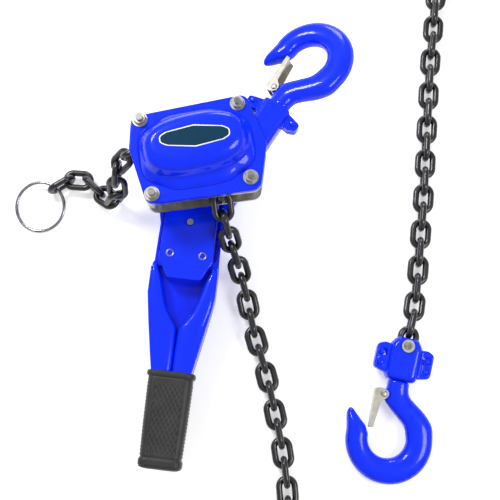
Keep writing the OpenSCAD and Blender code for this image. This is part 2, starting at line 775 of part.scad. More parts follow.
module lever_rivets() {
    color(zinc) in_lever() for (p = rivet_places) translate([p[0], p[1], 0]) {
        translate([0, 0, lever_z + lever_floor]) cylinder(r = 3, h = lever_h - lever_floor + head_plate_t);
        translate([0, 0, lever_top + head_plate_t]) tube(4.6, 2.6, 1.2);
        translate([0, 0, lever_z + lever_floor]) cylinder(r = 5, h = lever_h - lever_floor);
    }
}

module selector_pin() {
    color(zinc) in_lever() translate(concat(selector_place, [0])) {
        translate([0, 0, lever_z - 3]) cylinder(r = selector_r, h = lever_h + head_plate_t + 6);
        translate([0, 0, lever_z - 4.5]) cylinder(r = 7, h = 4);
    }
}

// Double-ended pawl on the selector's pin, centred between drive and release
module change_pawl() {
    color(steel) in_lever() translate(concat(selector_place, [lever_z + 8])) difference() {
        linear_extrude(height = 14) polygon(rounded([
            [-20, 12], [-26, 42], [-21, 43], [-12, 21], [12, 21], [21, 43], [26, 42], [20, 12], [9, -9], [-9, -9]
        ], 1.5, 3));
        translate([0, 0, -1]) cylinder(r = selector_r + run_gap, h = 16);
    }
}

function grip_ring(half_w, half_h, y) = [
    for (i = [0 : 27])
        let (a = i * 360 / 28, c = cos(a), s = sin(a))
        [
            half_w * sign(c) * pow(abs(c), 0.45), -y,
            lever_z + lever_h / 2 + half_h * sign(s) * pow(abs(s), 0.45)
        ]
];

module grip() {
    top = lever_len - grip_len;
    w = grip_w / 2;
    h = grip_h / 2;
    color(rubber) in_lever() difference() {
        skin([
            grip_ring(w + 1, h + 0.5, top), grip_ring(w + 2, h + 1.4, top + 2),
            grip_ring(w + 2, h + 1.4, top + 7), grip_ring(w, h, top + 10),
            grip_ring(w - 1, h, top + grip_len * 0.6), grip_ring(w - 2.5, h, lever_len - 14),
            grip_ring(w - 1, h + 1, lever_len - 10), grip_ring(w - 1.2, h + 1, lever_len - 4),
            grip_ring(w - 4, h - 2, lever_len)
        ]);
        translate([0, 0, lever_z - 0.05]) linear_extrude(height = lever_h + 0.1) lever_outline(-0.05);
    }
}

// ---- Hooks and their blocks ----

// A block hangs from its pin at the origin, with the hook towards -Y
nut_room = 15;
block_reach = 43;
yoke_reach = block_reach + top_reach - hook_reach;
chamber_floor = 12;
slot_w = chain_wire + 4;
edge_room = 3.5;
ear_half = 35.5;
ear_t = 9;
block_half = 19.5;
ear_rivet_x = 28;
rivet_r = 3;

module in_top() {
    p = turned(top_pin_place, body_turn);
    translate([p[0], p[1], chain_z]) rotate([0, 0, top_turn + 90]) children();
}

module in_bottom() {
    translate(chain_pin_at) rotate([0, 0, bottom_turn]) rotate([bottom_slope, 0, 0]) children();
}

// One forged half of a block, on the +Z side of the parting plane
module block_half(reach, ears_y, rivets_y, slotted, hole_r) {
    difference() {
        union() {
            intersection() {
                linear_extrude(height = block_t / 2)
                    polygon(rounded([
                        [-block_half, -reach], [block_half, -reach], [block_half, 4],
                        [11, 15.5], [-11, 15.5], [-block_half, 4]
                    ], 5, 5));
                translate([0, 30, 0]) rotate([90, 0, 0]) linear_extrude(height = 120)
                    polygon(rounded([
                        [-block_half, -20], [block_half, -20], [block_half - 2, block_t / 2],
                        [2 - block_half, block_t / 2]
                    ], 7, 5));
            }
            for (side = [-1, 1]) linear_extrude(height = ear_t)
                polygon(rounded([
                    [side * (block_half - 6), ears_y[0]], [side * ear_half, ears_y[0] + 6],
                    [side * ear_half, ears_y[1] - 4], [side * (ear_half - 9), ears_y[1]],
                    [side * (block_half - 6), ears_y[1] - 2]
                ], 3, 5));
        }
        // Recess in each ear
        if (slotted) for (side = [-1, 1]) translate([0, 0, ear_t - 1.5]) linear_extrude(height = 5)
            polygon(rounded([
                [side * (block_half + 2.5), ears_y[0] + 5], [side * (ear_half - 3), ears_y[0] + 9],
                [side * (ear_half - 3), ears_y[1] - 7], [side * (block_half + 2.5), ears_y[1] - 7]
            ], 2.5, 4));
        for (side = [-1, 1], y = rivets_y) translate([side * ear_rivet_x, y, -1]) cylinder(r = rivet_r + run_gap, h = 20);
        translate([0, 0, -1]) cylinder(r = hole_r, h = block_t);
        if (slotted) translate([-block_half, -link_inner / 2 - 4, -1]) cube([2 * block_half, 60, slot_w / 2 + 1]);
        // Room for the chain's next link, which stands on edge
        if (slotted) translate([-chain_wire / 2 - edge_room, link_inner / 3, -1])
            cube([chain_wire + 2 * edge_room, 30, 30]);
        // Chamber for the shank's nut, then the bore that the shank turns in
        rotate([90, 0, 0]) translate([0, 0, reach - chamber_floor - nut_room]) cylinder(r = shank_r + 4.5, h = nut_room);
        rotate([90, 0, 0]) translate([0, 0, reach - chamber_floor - 2]) cylinder(r = shank_r + run_gap, h = 60);
    }
}

block_rivets_y = [-25, -12];
yoke_rivets_y = [10 - yoke_reach];

module chain_block_half() block_half(block_reach, [-38, 1], block_rivets_y, true, pin_r + run_gap);
module yoke_half()
    block_half(yoke_reach, [1 - yoke_reach, 20 - yoke_reach], yoke_rivets_y, false, top_pin_r + run_gap);

module bottom_block_front() color(paint) in_bottom() chain_block_half();
module bottom_block_back() color(paint) in_bottom() rotate([0, 180, 0]) chain_block_half();
module top_yoke_front() color(paint) in_top() yoke_half();
module top_yoke_back() color(paint) in_top() rotate([0, 180, 0]) yoke_half();

module rivets(ys, seat) {
    for (side = [-1, 1], y = ys) translate([side * ear_rivet_x, y, 0]) {
        cylinder(r = rivet_r, h = 2 * seat, center = true);
        for (face = [0, 1]) rotate([0, 180 * face, 0]) translate([0, 0, seat]) rivet_head();
    }
}
module rivet_head() {
    rotate_extrude($fn = 32) polygon([[0, 0], [3.9, 0], [3.7, 1], [2.8, 1.9], [1.2, 2.4], [0, 2.4]]);
}
module block_rivets() color(paint) in_bottom() rivets(block_rivets_y, ear_t - 1.5);
module yoke_rivets() color(paint) in_top() rivets(yoke_rivets_y, ear_t);

// ---- Load chain and its pin ----

start_joint = turned([sheave_r, 0], sheave_start + body_turn);
end_joint = turned([sheave_r, 0], sheave_start + 36 * sheave_links + body_turn);
load_path = smooth(concat([[start_joint[0], start_joint[1], chain_z]], load_route), 12);
tail_path = smooth(concat([[end_joint[0], end_joint[1], chain_z]], tail_route), 12);
load_all = chain_joints(load_path, load_path[0], link_step);
tail_all = chain_joints(tail_path, tail_path[0], link_step);

// The load strand ends on a flat link for its pin, the tail on an upright one for its ring
function ending_on(joints, spare) =
    [for (k = [0 : 2 * floor((len(joints) - spare) / 2) - 1 + spare]) joints[k]];
load_joints = ending_on(load_all, 0);
tail_joints = ending_on(tail_all, 1);

function last_of(joints) = joints[len(joints) - 1];
function end_direction(joints) = unit(last_of(joints) - joints[len(joints) - 2]);
chain_pin_at = last_of(load_joints) - end_direction(load_joints) * pin_r;
bottom_slope = asin((chain_pin_at[2] - bowl_t / 2 - 0.4) / (hook_reach + bowl_r + bowl_w / 2));

// The chain on the sheave takes the first link of each strand with it
sheave_joints = concat(
    [load_joints[1]],
    [
        for (k = [0 : sheave_links])
            let (p = turned([sheave_r, 0], sheave_start + 36 * k + body_turn)) [p[0], p[1], chain_z]
    ],
    [tail_joints[1]]
);
function from_second(joints) = [for (k = [1 : len(joints) - 1]) joints[k]];

module load_chain() color(black_steel) chain_run(from_second(load_joints), 90);
module chain_over_sheave() color(black_steel) chain_run(sheave_joints, 0);
module tail_chain() color(black_steel) chain_run(from_second(tail_joints), 90);

module top_pin() {
    color(steel) in_body() translate([top_pin_place[0], top_pin_place[1], 0]) {
        translate([0, 0, back_z - 2]) cylinder(r = top_pin_r, h = cover_z - back_z + 2);
        translate([0, 0, back_z - 3]) cylinder(r = pin_head_r, h = 3);
        translate([0, 0, cover_z]) cylinder(r = top_pin_r - 1, h = 2.5);
    }
}

module chain_pin() {
    color(steel) in_bottom() {
        translate([0, 0, -block_t / 2 - 1.5]) cylinder(r = pin_r, h = block_t + 7);
        translate([0, 0, -block_t / 2 - 2.5]) cylinder(r = pin_r + 2, h = 2.5);
    }
}

module chain_pin_nut() {
    color(zinc) in_bottom() translate([0, 0, block_t / 2]) tube(pin_r + 3, pin_r + run_gap, 3.5);
}

// ---- Hooks ----

latch_pivot = [-15.5, 52];
latch_pin_r = 2.2;
lug_r = 6.2;
lug_half = 7.5;
latch_in = 7.9;
latch_out = 9.4;

function bowl_width(a) = bowl_w - 3 + 3 * cos(a + 20);
function bowl_pair(a) = let (u = [cos(a), sin(a)]) [u * (bowl_r + bowl_width(a)), u * bowl_r];

// One section of the hook: outer and inner edge in the hook's plane, and half its thickness
function hook_ring(pair, half_t) =
    let (mid = (pair[0] + pair[1]) / 2, arm = (pair[0] - pair[1]) / 2)
    [
        for (i = [0 : 19])
            let (a = i * 18, c = cos(a), s = sin(a), p = mid + arm * sign(c) * pow(abs(c), 0.85))
            [p[0], p[1], half_t * sign(s) * pow(abs(s), 0.85)]
    ];

module hook(reach, neck_y) {
    t = bowl_t / 2;
    neck = shank_r + 4.3;
    k = (bowl_r + bowl_w) / 56.2;
    rings = concat(
        [
            hook_ring([[neck - 1, neck_y], [1 - neck, neck_y]], t - 1.8),
            hook_ring([[neck, neck_y - 1.5], [-neck, neck_y - 1.5]], t - 1),
            hook_ring([[neck + 0.3, 64], [-neck, 62]], t - 1),
            hook_ring([[neck + 3.2, 56], [-neck - 1, 53]], t - 1),
            hook_ring([[24.5, 49.5], [-12.5, 45]], t - 0.8),
            hook_ring([[36, 42], [-4, 36.5]], t - 0.4)
        ],
        [for (p = [[[45.5, 33.5], [8, 27]], [[51.8, 24], [17.5, 18.5]]]) hook_ring(p * k, t)],
        [for (a = [10 : -12 : -170]) hook_ring(bowl_pair(a), t)],
        [
            hook_ring([bowl_pair(180)[0], bowl_pair(180)[1]], t - 0.3),
            hook_ring([[-52.5, 10] * k, [-28.5, 9.5] * k], t - 1.2),
            hook_ring([[-54, 17] * k, [-36, 16] * k], t - 3.5),
            hook_ring([[-54.2, 22] * k, [-42.6, 22] * k], t - 6),
            hook_ring([[-53.2, 25.6] * k, [-47, 26] * k], t - 8.8),
            hook_ring([[-51.5, 27.2] * k, [-49.5, 27.3] * k], t - 11)
        ]
    );
    translate([0, -reach, 0]) difference() {
        union() {
            skin(rings);
            translate([latch_pivot[0], latch_pivot[1], -lug_half]) cylinder(r = lug_r, h = 2 * lug_half);
            translate([0, neck_y - 4, 0]) rotate([-90, 0, 0]) cylinder(r = shank_r, h = 4 + chamber_floor + 10.5);
        }
        translate([latch_pivot[0], latch_pivot[1], -30]) cylinder(r = latch_pin_r + run_gap, h = 60);
        for (side = [0, 1]) rotate([0, 180 * side, 0])
            translate([(side == 0 ? 1 : -1) * latch_pivot[0], latch_pivot[1], lug_half]) cylinder(r = 7.6, h = 20);
    }
}

module hook_nut(reach, neck_y) {
    translate([0, -reach + neck_y + chamber_floor + 0.7, 0]) rotate([-90, 0, 0])
        tube(shank_r + 3.6, shank_r + run_gap, 8);
}

module latch(reach) {
    side_shape = [[-26.5, 57], [-21, 58.6], [-15, 58.4], [-10.2, 55], [-9.5, 51], [-12, 46.8], [-17, 42],
        [-20.2, 9.5], [-25, 8]];
    translate([0, -reach, 0]) difference() {
        union() {
            for (side = [0, 1]) translate([0, 0, side == 0 ? latch_in : -latch_out])
                linear_extrude(height = latch_out - latch_in) polygon(rounded(side_shape, 0.9, 3));
            translate([0, 0, -latch_out]) linear_extrude(height = 2 * latch_out)
                polygon([[-26.5, 56.5], [-24.9, 56.9], [-23.4, 8.9], [-25, 8.3]]);
        }
        translate([latch_pivot[0], latch_pivot[1], -30]) cylinder(r = latch_pin_r + run_gap, h = 60);
    }
}

module latch_pin(reach) {
    translate([latch_pivot[0], latch_pivot[1] - reach, 0]) {
        cylinder(r = latch_pin_r, h = 2 * latch_out + 1, center = true);
        for (side = [0, 1]) rotate([0, 180 * side, 0]) translate([0, 0, latch_out + 0.3])
            rotate_extrude($fn = 32) polygon([[0, 0], [3.8, 0], [3.8, 0.8], [2.6, 1.9], [0, 2.1]]);
    }
}

hook_neck = hook_reach - block_reach - 0.4;
module in_top_hook() in_top() rotate([0, top_roll, 0]) children();

module top_hook() color(paint) in_top_hook() hook(top_reach, hook_neck);
module top_hook_nut() color(steel) in_top_hook() hook_nut(top_reach, hook_neck);
module top_latch() color(zinc) in_top_hook() latch(top_reach);
module top_latch_pin() color(steel) in_top_hook() latch_pin(top_reach);
module bottom_hook() color(paint) in_bottom() hook(hook_reach, hook_neck);
module bottom_hook_nut() color(steel) in_bottom() hook_nut(hook_reach, hook_neck);
module bottom_latch() color(zinc) in_bottom() latch(hook_reach);
module bottom_latch_pin() color(steel) in_bottom() latch_pin(hook_reach);

// ---- Tail ring ----

// The ring runs through the last tail link and slopes down to the surface
module tail_ring() {
    d = end_direction(tail_joints);
    at = last_of(tail_joints) - d * (ring_wire + ring_play);
    slope = asin((at[2] - ring_wire - 0.2) / (2 * ring_r));
    color("#d8d9dc") translate(at) rotate([0, 0, ring_turn]) rotate([0, slope, 0])
        translate([ring_r, 0, 0]) rotate_extrude($fn = 60) translate([ring_r, 0]) circle(r = ring_wire, $fn = 20);
}
ring_turn = -130;
ring_play = 0.8;

gear_cover();
front_side_plate();
back_side_plate();
stay_bolts();
cover_washers();
cover_nuts();
rear_nuts();
guide_rollers();
chain_stripper();
brake_cover();
ratchet_disc();
friction_discs();
front_bearing();
back_bearing();
brake_pawls();
top_pin();
load_chain();
chain_over_sheave();
tail_chain();
drive_shaft();
drive_pinion();
disc_hub();
change_gear();
hand_wheel();
hand_wheel_nut();
hand_wheel_cap();
load_sheave();
load_gear();
idler_gear_1();
idler_pinion_1();
idler_shaft_1();
idler_gear_2();
idler_pinion_2();
idler_shaft_2();
lever_arm();
lever_plate();
lever_rivets();
grip();
selector_pin();
change_pawl();
top_yoke_front();
top_yoke_back();
yoke_rivets();
top_hook();
top_hook_nut();
top_latch();
top_latch_pin();
bottom_block_front();
bottom_block_back();
block_rivets();
chain_pin();
chain_pin_nut();
bottom_hook();
bottom_hook_nut();
bottom_latch();
bottom_latch_pin();
tail_ring();
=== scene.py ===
"""Lever chain hoist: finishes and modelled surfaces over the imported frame."""

import json
import math
from collections import namedtuple

import bmesh
import bpy
from mathutils import Matrix, Vector


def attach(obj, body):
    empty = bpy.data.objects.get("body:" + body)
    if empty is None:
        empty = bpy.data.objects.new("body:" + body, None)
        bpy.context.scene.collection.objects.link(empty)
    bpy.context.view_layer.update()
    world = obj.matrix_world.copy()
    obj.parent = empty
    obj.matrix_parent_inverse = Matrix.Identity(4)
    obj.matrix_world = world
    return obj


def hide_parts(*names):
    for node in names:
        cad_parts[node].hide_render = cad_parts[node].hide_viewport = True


bl_info = {
    "name": "Lever Chain Hoist",
    "version": (1, 0, 0),
    "blender": (4, 5, 0),
    "location": "3D View > Sidebar > Hoist",
    "description": "Builds the surfaces and finishes of a lever chain hoist over its frame",
    "category": "Add Mesh",
}

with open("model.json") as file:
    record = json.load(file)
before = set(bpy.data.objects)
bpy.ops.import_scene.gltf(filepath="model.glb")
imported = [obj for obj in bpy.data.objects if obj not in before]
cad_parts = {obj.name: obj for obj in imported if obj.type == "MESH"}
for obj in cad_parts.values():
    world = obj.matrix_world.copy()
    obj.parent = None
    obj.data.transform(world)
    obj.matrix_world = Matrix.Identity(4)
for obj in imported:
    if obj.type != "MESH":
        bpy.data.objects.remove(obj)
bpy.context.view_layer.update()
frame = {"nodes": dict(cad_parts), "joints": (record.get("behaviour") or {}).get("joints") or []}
MM = 0.001


# ---- Sizes and colours ----


class HoistSizes(bpy.types.PropertyGroup):
    body_turn: bpy.props.FloatProperty(
        name="Body turn",
        description="Turn of the body about the drive shaft",
        default=math.radians(10),
        subtype="ANGLE",
    )
    lever_turn: bpy.props.FloatProperty(
        name="Lever turn",
        description="Turn of the lever about the drive shaft",
        default=math.radians(-6.6),
        subtype="ANGLE",
    )
    badge_length: bpy.props.FloatProperty(
        name="Badge length",
        description="Length of the bare badge plate",
        default=82 * MM,
        unit="LENGTH",
    )
    badge_width: bpy.props.FloatProperty(
        name="Badge width",
        description="Width of the bare badge plate",
        default=27 * MM,
        unit="LENGTH",
    )
    grip_length: bpy.props.FloatProperty(
        name="Grip length",
        description="Length of the rubber grip",
        default=116 * MM,
        unit="LENGTH",
    )
    grip_width: bpy.props.FloatProperty(
        name="Grip width",
        description="Width of the rubber grip",
        default=54 * MM,
        unit="LENGTH",
    )
    bowl_radius: bpy.props.FloatProperty(
        name="Bowl radius",
        description="Inside radius of a hook's bowl",
        default=23.2 * MM,
        unit="LENGTH",
    )
    bowl_width: bpy.props.FloatProperty(
        name="Bowl width",
        description="Width of a hook where it is heaviest",
        default=33 * MM,
        unit="LENGTH",
    )


class HoistColours(bpy.types.PropertyGroup):
    enamel: bpy.props.StringProperty(
        name="Enamel", description="Colour of the paint, as sRGB hex", default="#002EFF"
    )
    badge: bpy.props.StringProperty(
        name="Badge", description="Colour of the badge's field, as sRGB hex", default="#00364F"
    )
    zinc: bpy.props.StringProperty(
        name="Zinc", description="Colour of the plated steel, as sRGB hex", default="#CDC9BD"
    )
    chain: bpy.props.StringProperty(
        name="Chain", description="Colour of the blackened chain, as sRGB hex", default="#0D0D0F"
    )
    rubber: bpy.props.StringProperty(
        name="Rubber", description="Colour of the rubber grip, as sRGB hex", default="#2A2A2B"
    )
    floor: bpy.props.StringProperty(
        name="Floor", description="Colour of the surface it lies on, as sRGB hex", default="#F4F4F4"
    )


def sizes():
    return bpy.context.scene.hoist_sizes


def colours():
    return bpy.context.scene.hoist_colours


# ---- Materials ----

# A pattern over a surface: the kind of texture, how many millimetres apart its features are,
# its inputs, its settings and how far it is drawn out along each axis
Pattern = namedtuple("Pattern", "kind size_mm inputs settings stretch", defaults=({}, {}, None))
CLOUDS = "ShaderNodeTexNoise"
CELLS = "ShaderNodeTexVoronoi"
BANDS = "ShaderNodeTexWave"


def linear(hex_colour):
    """sRGB hex to the linear RGBA that a shader takes."""
    channels = [int(hex_colour[i : i + 2], 16) / 255 for i in (1, 3, 5)]
    return [c / 12.92 if c <= 0.04045 else ((c + 0.055) / 1.055) ** 2.4 for c in channels] + [1.0]


def tinted(hex_colour, gain):
    """The same colour, lighter or darker by a factor."""
    return [min(1.0, c * gain) for c in linear(hex_colour)[:3]] + [1.0]


def add_node(tree, kind, settings=None, links=None):
    """A new node with its settings; links takes a socket for an input, or a plain value."""
    item = tree.nodes.new(kind)
    for key, value in (settings or {}).items():
        setattr(item, key, value)
    for key, value in (links or {}).items():
        if isinstance(value, bpy.types.NodeSocket):
            tree.links.new(value, item.inputs[key])
        else:
            item.inputs[key].default_value = value
    return item


def lay_pattern(tree, pattern):
    """The socket that says how strong a pattern is at each point of a piece."""
    at = add_node(tree, "ShaderNodeTexCoord").outputs["Object"]
    if pattern.stretch:
        drawn = add_node(tree, "ShaderNodeMapping", links={"Vector": at, "Scale": pattern.stretch})
        at = drawn.outputs["Vector"]
    links = {"Vector": at, "Scale": 1 / (pattern.size_mm * MM), **pattern.inputs}
    item = add_node(tree, pattern.kind, pattern.settings, links)
    return item.outputs["Distance" if pattern.kind == CELLS else "Fac"]


def surface(name, patterns, tones, gloss=None, reliefs=(), values=None):
    """A material with its patterns laid over the shader.

    tones is a pattern's name and the colour stops that it runs through, gloss a pattern's name
    and the roughness that it spans. Each relief is a pattern's name, its depth in millimetres
    and its strength, the lowest first. The values go on the shader's own sockets.
    """
    material = bpy.data.materials.new(name)
    material.use_nodes = True
    tree = material.node_tree
    shader = tree.nodes["Principled BSDF"]
    for key, value in (values or {}).items():
        shader.inputs[key].default_value = value
    laid = {key: lay_pattern(tree, pattern) for key, pattern in patterns.items()}

    which, stops = tones
    ramp = add_node(tree, "ShaderNodeValToRGB", links={"Fac": laid[which]})
    elements = ramp.color_ramp.elements
    for element, (position, colour) in zip(elements, stops):
        element.position = position
        element.color = colour
    for position, colour in stops[2:]:
        elements.new(position).color = colour
    tree.links.new(ramp.outputs["Color"], shader.inputs["Base Color"])

    if gloss:
        which, low, high = gloss
        spread = {"Value": laid[which], "To Min": low, "To Max": high}
        mapped = add_node(tree, "ShaderNodeMapRange", links=spread)
        tree.links.new(mapped.outputs["Result"], shader.inputs["Roughness"])

    normal = {}
    for which, depth_mm, strength in reliefs:
        height = {"Height": laid[which], "Distance": depth_mm * MM, "Strength": strength}
        normal = {"Normal": add_node(tree, "ShaderNodeBump", links={**height, **normal}).outputs[0]}
    if normal:
        tree.links.new(normal["Normal"], shader.inputs["Normal"])
    return material


def baked_enamel():
    """Sprayed and baked enamel on cast and pressed steel: deep colour under a wet gloss, with
    a faint orange peel and the softer swell of the casting below it."""
    name = colours().enamel
    return surface(
        "baked_blue_enamel",
        {
            "patches": Pattern(CLOUDS, 22, {"Detail": 4.0}),
            "swell": Pattern(CLOUDS, 14, {"Detail": 2.0}),
            "peel": Pattern(CLOUDS, 1.6, {"Detail": 2.0}),
        },
        tones=("patches", [(0.3, tinted(name, 0.86)), (0.7, linear(name))]),
        gloss=("swell", 0.24, 0.36),
        reliefs=[("swell", 0.5, 0.35), ("peel", 0.05, 0.5)],
        values={"Coat Weight": 0.45, "Coat Roughness": 0.06, "Specular IOR Level": 0.1},
    )


def forged_enamel():
    """The same enamel over a drop forging: the scale and grinding marks of the forging show
    through as small dents and a coarser ripple in the gloss."""
    name = colours().enamel
    return surface(
        "enamel_on_forging",
        {
            "ripple": Pattern(CLOUDS, 9, {"Detail": 3.0}),
            "dents": Pattern(CELLS, 6, {"Smoothness": 0.8}, {"feature": "SMOOTH_F1"}),
        },
        tones=("ripple", [(0.3, tinted(name, 0.84)), (0.7, linear(name))]),
        gloss=("ripple", 0.24, 0.38),
        reliefs=[("ripple", 0.7, 0.4), ("dents", 0.35, 0.35)],
        values={"Coat Weight": 0.45, "Coat Roughness": 0.08, "Specular IOR Level": 0.1},
    )


def zinc_plate():
    """Electroplated zinc with a clear passivate: warm grey, satin, with cloudy patches and the
    fine lines that rolling left in the steel."""
    name = colours().zinc
    return surface(
        "zinc_plated_steel",
        {
            "clouds": Pattern(CLOUDS, 11, {"Detail": 4.0, "Roughness": 0.6}),
            "rolled": Pattern(CLOUDS, 0.9, {"Detail": 3.0}, {}, (0.08, 1.0, 1.0)),
        },
        tones=("clouds", [(0.32, tinted(name, 0.72)), (0.68, linear(name))]),
        gloss=("rolled", 0.26, 0.46),
        reliefs=[("rolled", 0.03, 0.6)],
        values={"Metallic": 1.0},
    )


def turned_steel():
    """Machined carbon steel, oiled: bright rings of the tool round the axis, a little darker
    where oil has dried. The feed marks are drawn coarser than they are, so that they show."""
    return surface(
        "turned_steel",
        {
            "film": Pattern(CLOUDS, 6, {"Detail": 4.0}),
            "feed": Pattern(
                BANDS, 4, {"Distortion": 0.4}, {"wave_type": "BANDS", "bands_direction": "Z"}
            ),
        },
        tones=("film", [(0.3, linear("#74767A")), (0.7, linear("#A9ABAF"))]),
        gloss=("film", 0.22, 0.4),
        reliefs=[("feed", 0.02, 0.4)],
        values={"Metallic": 1.0},
    )


def dull_chrome():
    """Dull chromium plate over drawn steel wire: bright, with the hairlines of long handling."""
    return surface(
        "chromium_plate",
        {
            "haze": Pattern(CLOUDS, 8, {"Detail": 3.0}),
            "hairlines": Pattern(CLOUDS, 0.8, {"Detail": 5.0, "Roughness": 0.7}),
        },
        tones=("haze", [(0.3, linear("#84868A")), (0.7, linear("#AEB0B4"))]),
        gloss=("hairlines", 0.14, 0.3),
        reliefs=[("hairlines", 0.01, 0.4)],
        values={"Metallic": 1.0},
    )


def blackened_chain():
    """Hardened alloy chain in black oxide and oil: nearly black and satin, with a brown-grey
    bloom and fine pitting that breaks the highlights."""
    name = colours().chain
    return surface(
        "black_oxide_chain",
        {
            "bloom": Pattern(CLOUDS, 7, {"Detail": 4.0, "Roughness": 0.6}),
            "pits": Pattern(CLOUDS, 1.1, {"Detail": 4.0, "Roughness": 0.65}),
        },
        tones=("bloom", [(0.35, linear(name)), (0.75, tinted(name, 2.2))]),
        gloss=("pits", 0.24, 0.5),
        reliefs=[("pits", 0.12, 0.5)],
        values={"Metallic": 0.1, "Coat Weight": 0.55, "Coat Roughness": 0.14},
    )


def brake_lining():
    """Moulded friction lining: dull brown resin with brass chips and fibre."""
    stops = [(0.4, linear("#4B3A2C")), (0.62, linear("#6E5A46")), (0.72, linear("#A98B55"))]
    return surface(
        "moulded_friction_lining",
        {"chips": Pattern(CLOUDS, 1.5, {"Detail": 4.0, "Roughness": 0.7})},
        tones=("chips", stops),
        reliefs=[("chips", 0.1, 0.7)],
        values={"Roughness": 0.85},
    )


def moulded_rubber():
    """Black moulded rubber: soft sheen, a fine matt from the mould and a grey bloom."""
    name = colours().rubber
    return surface(
        "moulded_rubber",
        {
            "bloom": Pattern(CLOUDS, 18, {"Detail": 4.0}),
            "matt": Pattern(CLOUDS, 0.7, {"Detail": 3.0, "Roughness": 0.6}),
        },
        tones=("bloom", [(0.3, tinted(name, 0.65)), (0.72, tinted(name, 1.25))]),
        gloss=("matt", 0.42, 0.62),
        reliefs=[("matt", 0.05, 0.6)],
        values={"Sheen Weight": 0.12, "Sheen Roughness": 0.4, "Specular IOR Level": 0.45},
    )


def printed_badge():
    """Screen-printed aluminium plate: flat dark field under clear lacquer, slightly mottled."""
    name = colours().badge
    return surface(
        "screen_printed_field",
        {"mottle": Pattern(CLOUDS, 3, {"Detail": 3.0})},
        tones=("mottle", [(0.3, tinted(name, 0.85)), (0.7, linear(name))]),
        gloss=("mottle", 0.34, 0.46),
        values={"Coat Weight": 0.1, "Coat Roughness": 0.2, "Specular IOR Level": 0.1},
    )


def bare_aluminium():
    """Bare rim of the badge plate: pale brushed aluminium under the same lacquer."""
    return surface(
        "brushed_aluminium_rim",
        {"brush": Pattern(CLOUDS, 0.6, {"Detail": 3.0})},
        tones=("brush", [(0.3, linear("#E4E6E4")), (0.7, linear("#FBFBF8"))]),
        gloss=("brush", 0.32, 0.5),
        values={"Metallic": 0.35},
    )


FINISHES = {
    "blue_enamel": baked_enamel,
    "forged_enamel": forged_enamel,
    "zinc_plate": zinc_plate,
    "bright_steel": turned_steel,
    "chrome_ring": dull_chrome,
    "black_oxide_steel": blackened_chain,
    "friction_lining": brake_lining,
    "black_rubber": moulded_rubber,
    "badge_field": printed_badge,
    "badge_rim": bare_aluminium,
}
made_finishes = {}


def finish(name):
    """The material of a finish, made once."""
    if name not in made_finishes:
        made_finishes[name] = FINISHES[name]()
    return made_finishes[name]


# ---- Making pieces ----


def solid_mesh(name, vertices, faces):
    """A mesh whose faces all look outwards."""
    mesh = bpy.data.meshes.new(name)
    mesh.from_pydata([tuple(v) for v in vertices], [], faces)
    skin = bmesh.new()
    skin.from_mesh(mesh)
    bmesh.ops.recalc_face_normals(skin, faces=skin.faces)
    skin.to_mesh(mesh)
    skin.free()
    return mesh


def new_piece(name, solid, finish_name, body, stands_for=()):
    """A smooth shaded piece from vertices and faces, that rides on a body."""
    mesh = solid_mesh(name, *solid)
    mesh.materials.append(finish(finish_name))
    mesh.shade_smooth()
    mesh.set_sharp_from_angle(angle=math.radians(42))
    piece = bpy.data.objects.new(name, mesh)
    bpy.context.scene.collection.objects.link(piece)
    bpy.context.view_layer.update()
    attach(piece, body)
    if stands_for:
        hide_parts(*stands_for)
    return piece


def polar(radius, angle):
    """Point at an angle on a circle about the origin."""
    return radius * math.cos(angle), radius * math.sin(angle)


def turn(point, angle):
    """A point turned about the origin."""
    c, s = math.cos(angle), math.sin(angle)
    return (point[0] * c - point[1] * s, point[0] * s + point[1] * c)


def at_mm(x, y, z):
    """A place given in millimetres."""
    return Vector((x * MM, y * MM, z * MM))


def loft(rings):
    """Vertices and faces of a skin over closed rings, with a fan at each end."""
    count = len(rings[0])
    vertices = [point for ring in rings for point in ring]
    faces = []
    for j in range(len(rings) - 1):
        for i in range(count):
            k = (i + 1) % count
            faces.append((j * count + i, j * count + k, (j + 1) * count + k, (j + 1) * count + i))
    for first, reverse in ((0, True), ((len(rings) - 1) * count, False)):
        middle = sum((Vector(p) for p in vertices[first : first + count]), Vector()) / count
        vertices.append(middle)
        centre = len(vertices) - 1
        for i in range(count):
            a, b = first + i, first + (i + 1) % count
            faces.append((b, a, centre) if reverse else (a, b, centre))
    return vertices, faces


def open_loft(rings):
    """The same skin, open at both ends."""
    vertices, faces = loft(rings)
    count = len(rings[0])
    return vertices[: count * len(rings)], faces[: count * (len(rings) - 1)]


def joined(*solids):
    """Several (vertices, faces) pairs as one."""
    vertices, faces = [], []
    for some_vertices, some_faces in solids:
        start = len(vertices)
        vertices += some_vertices
        faces += [tuple(start + i for i in face) for face in some_faces]
    return vertices, faces


def carried(matrix, solid):
    """A (vertices, faces) pair moved to its place."""
    vertices, faces = solid
    return [matrix @ Vector(v) for v in vertices], faces


def smooth_rows(rows, steps):
    """Catmull-Rom rows of numbers between the given rows."""
    out = []
    last = len(rows) - 1
    for i in range(last):
        around = rows[max(i - 1, 0)], rows[i], rows[i + 1], rows[min(i + 2, last)]
        for k in range(steps):
            t = k / steps
            out.append([catmull_rom(t, *values) for values in zip(*around)])
    out.append(list(rows[-1]))
    return out


def catmull_rom(t, p, q, r, s):
    """The value a share t of the way from q to r."""
    slope = (r - p) * t
    bend = (2 * p - 5 * q + 4 * r - s) * t * t
    twist = (3 * q - p - 3 * r + s) * t**3
    return 0.5 * (2 * q + slope + bend + twist)


def superellipse(angle, half_x, half_y, power):
    """Point of a rounded rectangle at an angle about its middle."""
    c, s = math.cos(angle), math.sin(angle)
    radius = (abs(c / half_x) ** power + abs(s / half_y) ** power) ** (-1 / power)
    return radius * c, radius * s


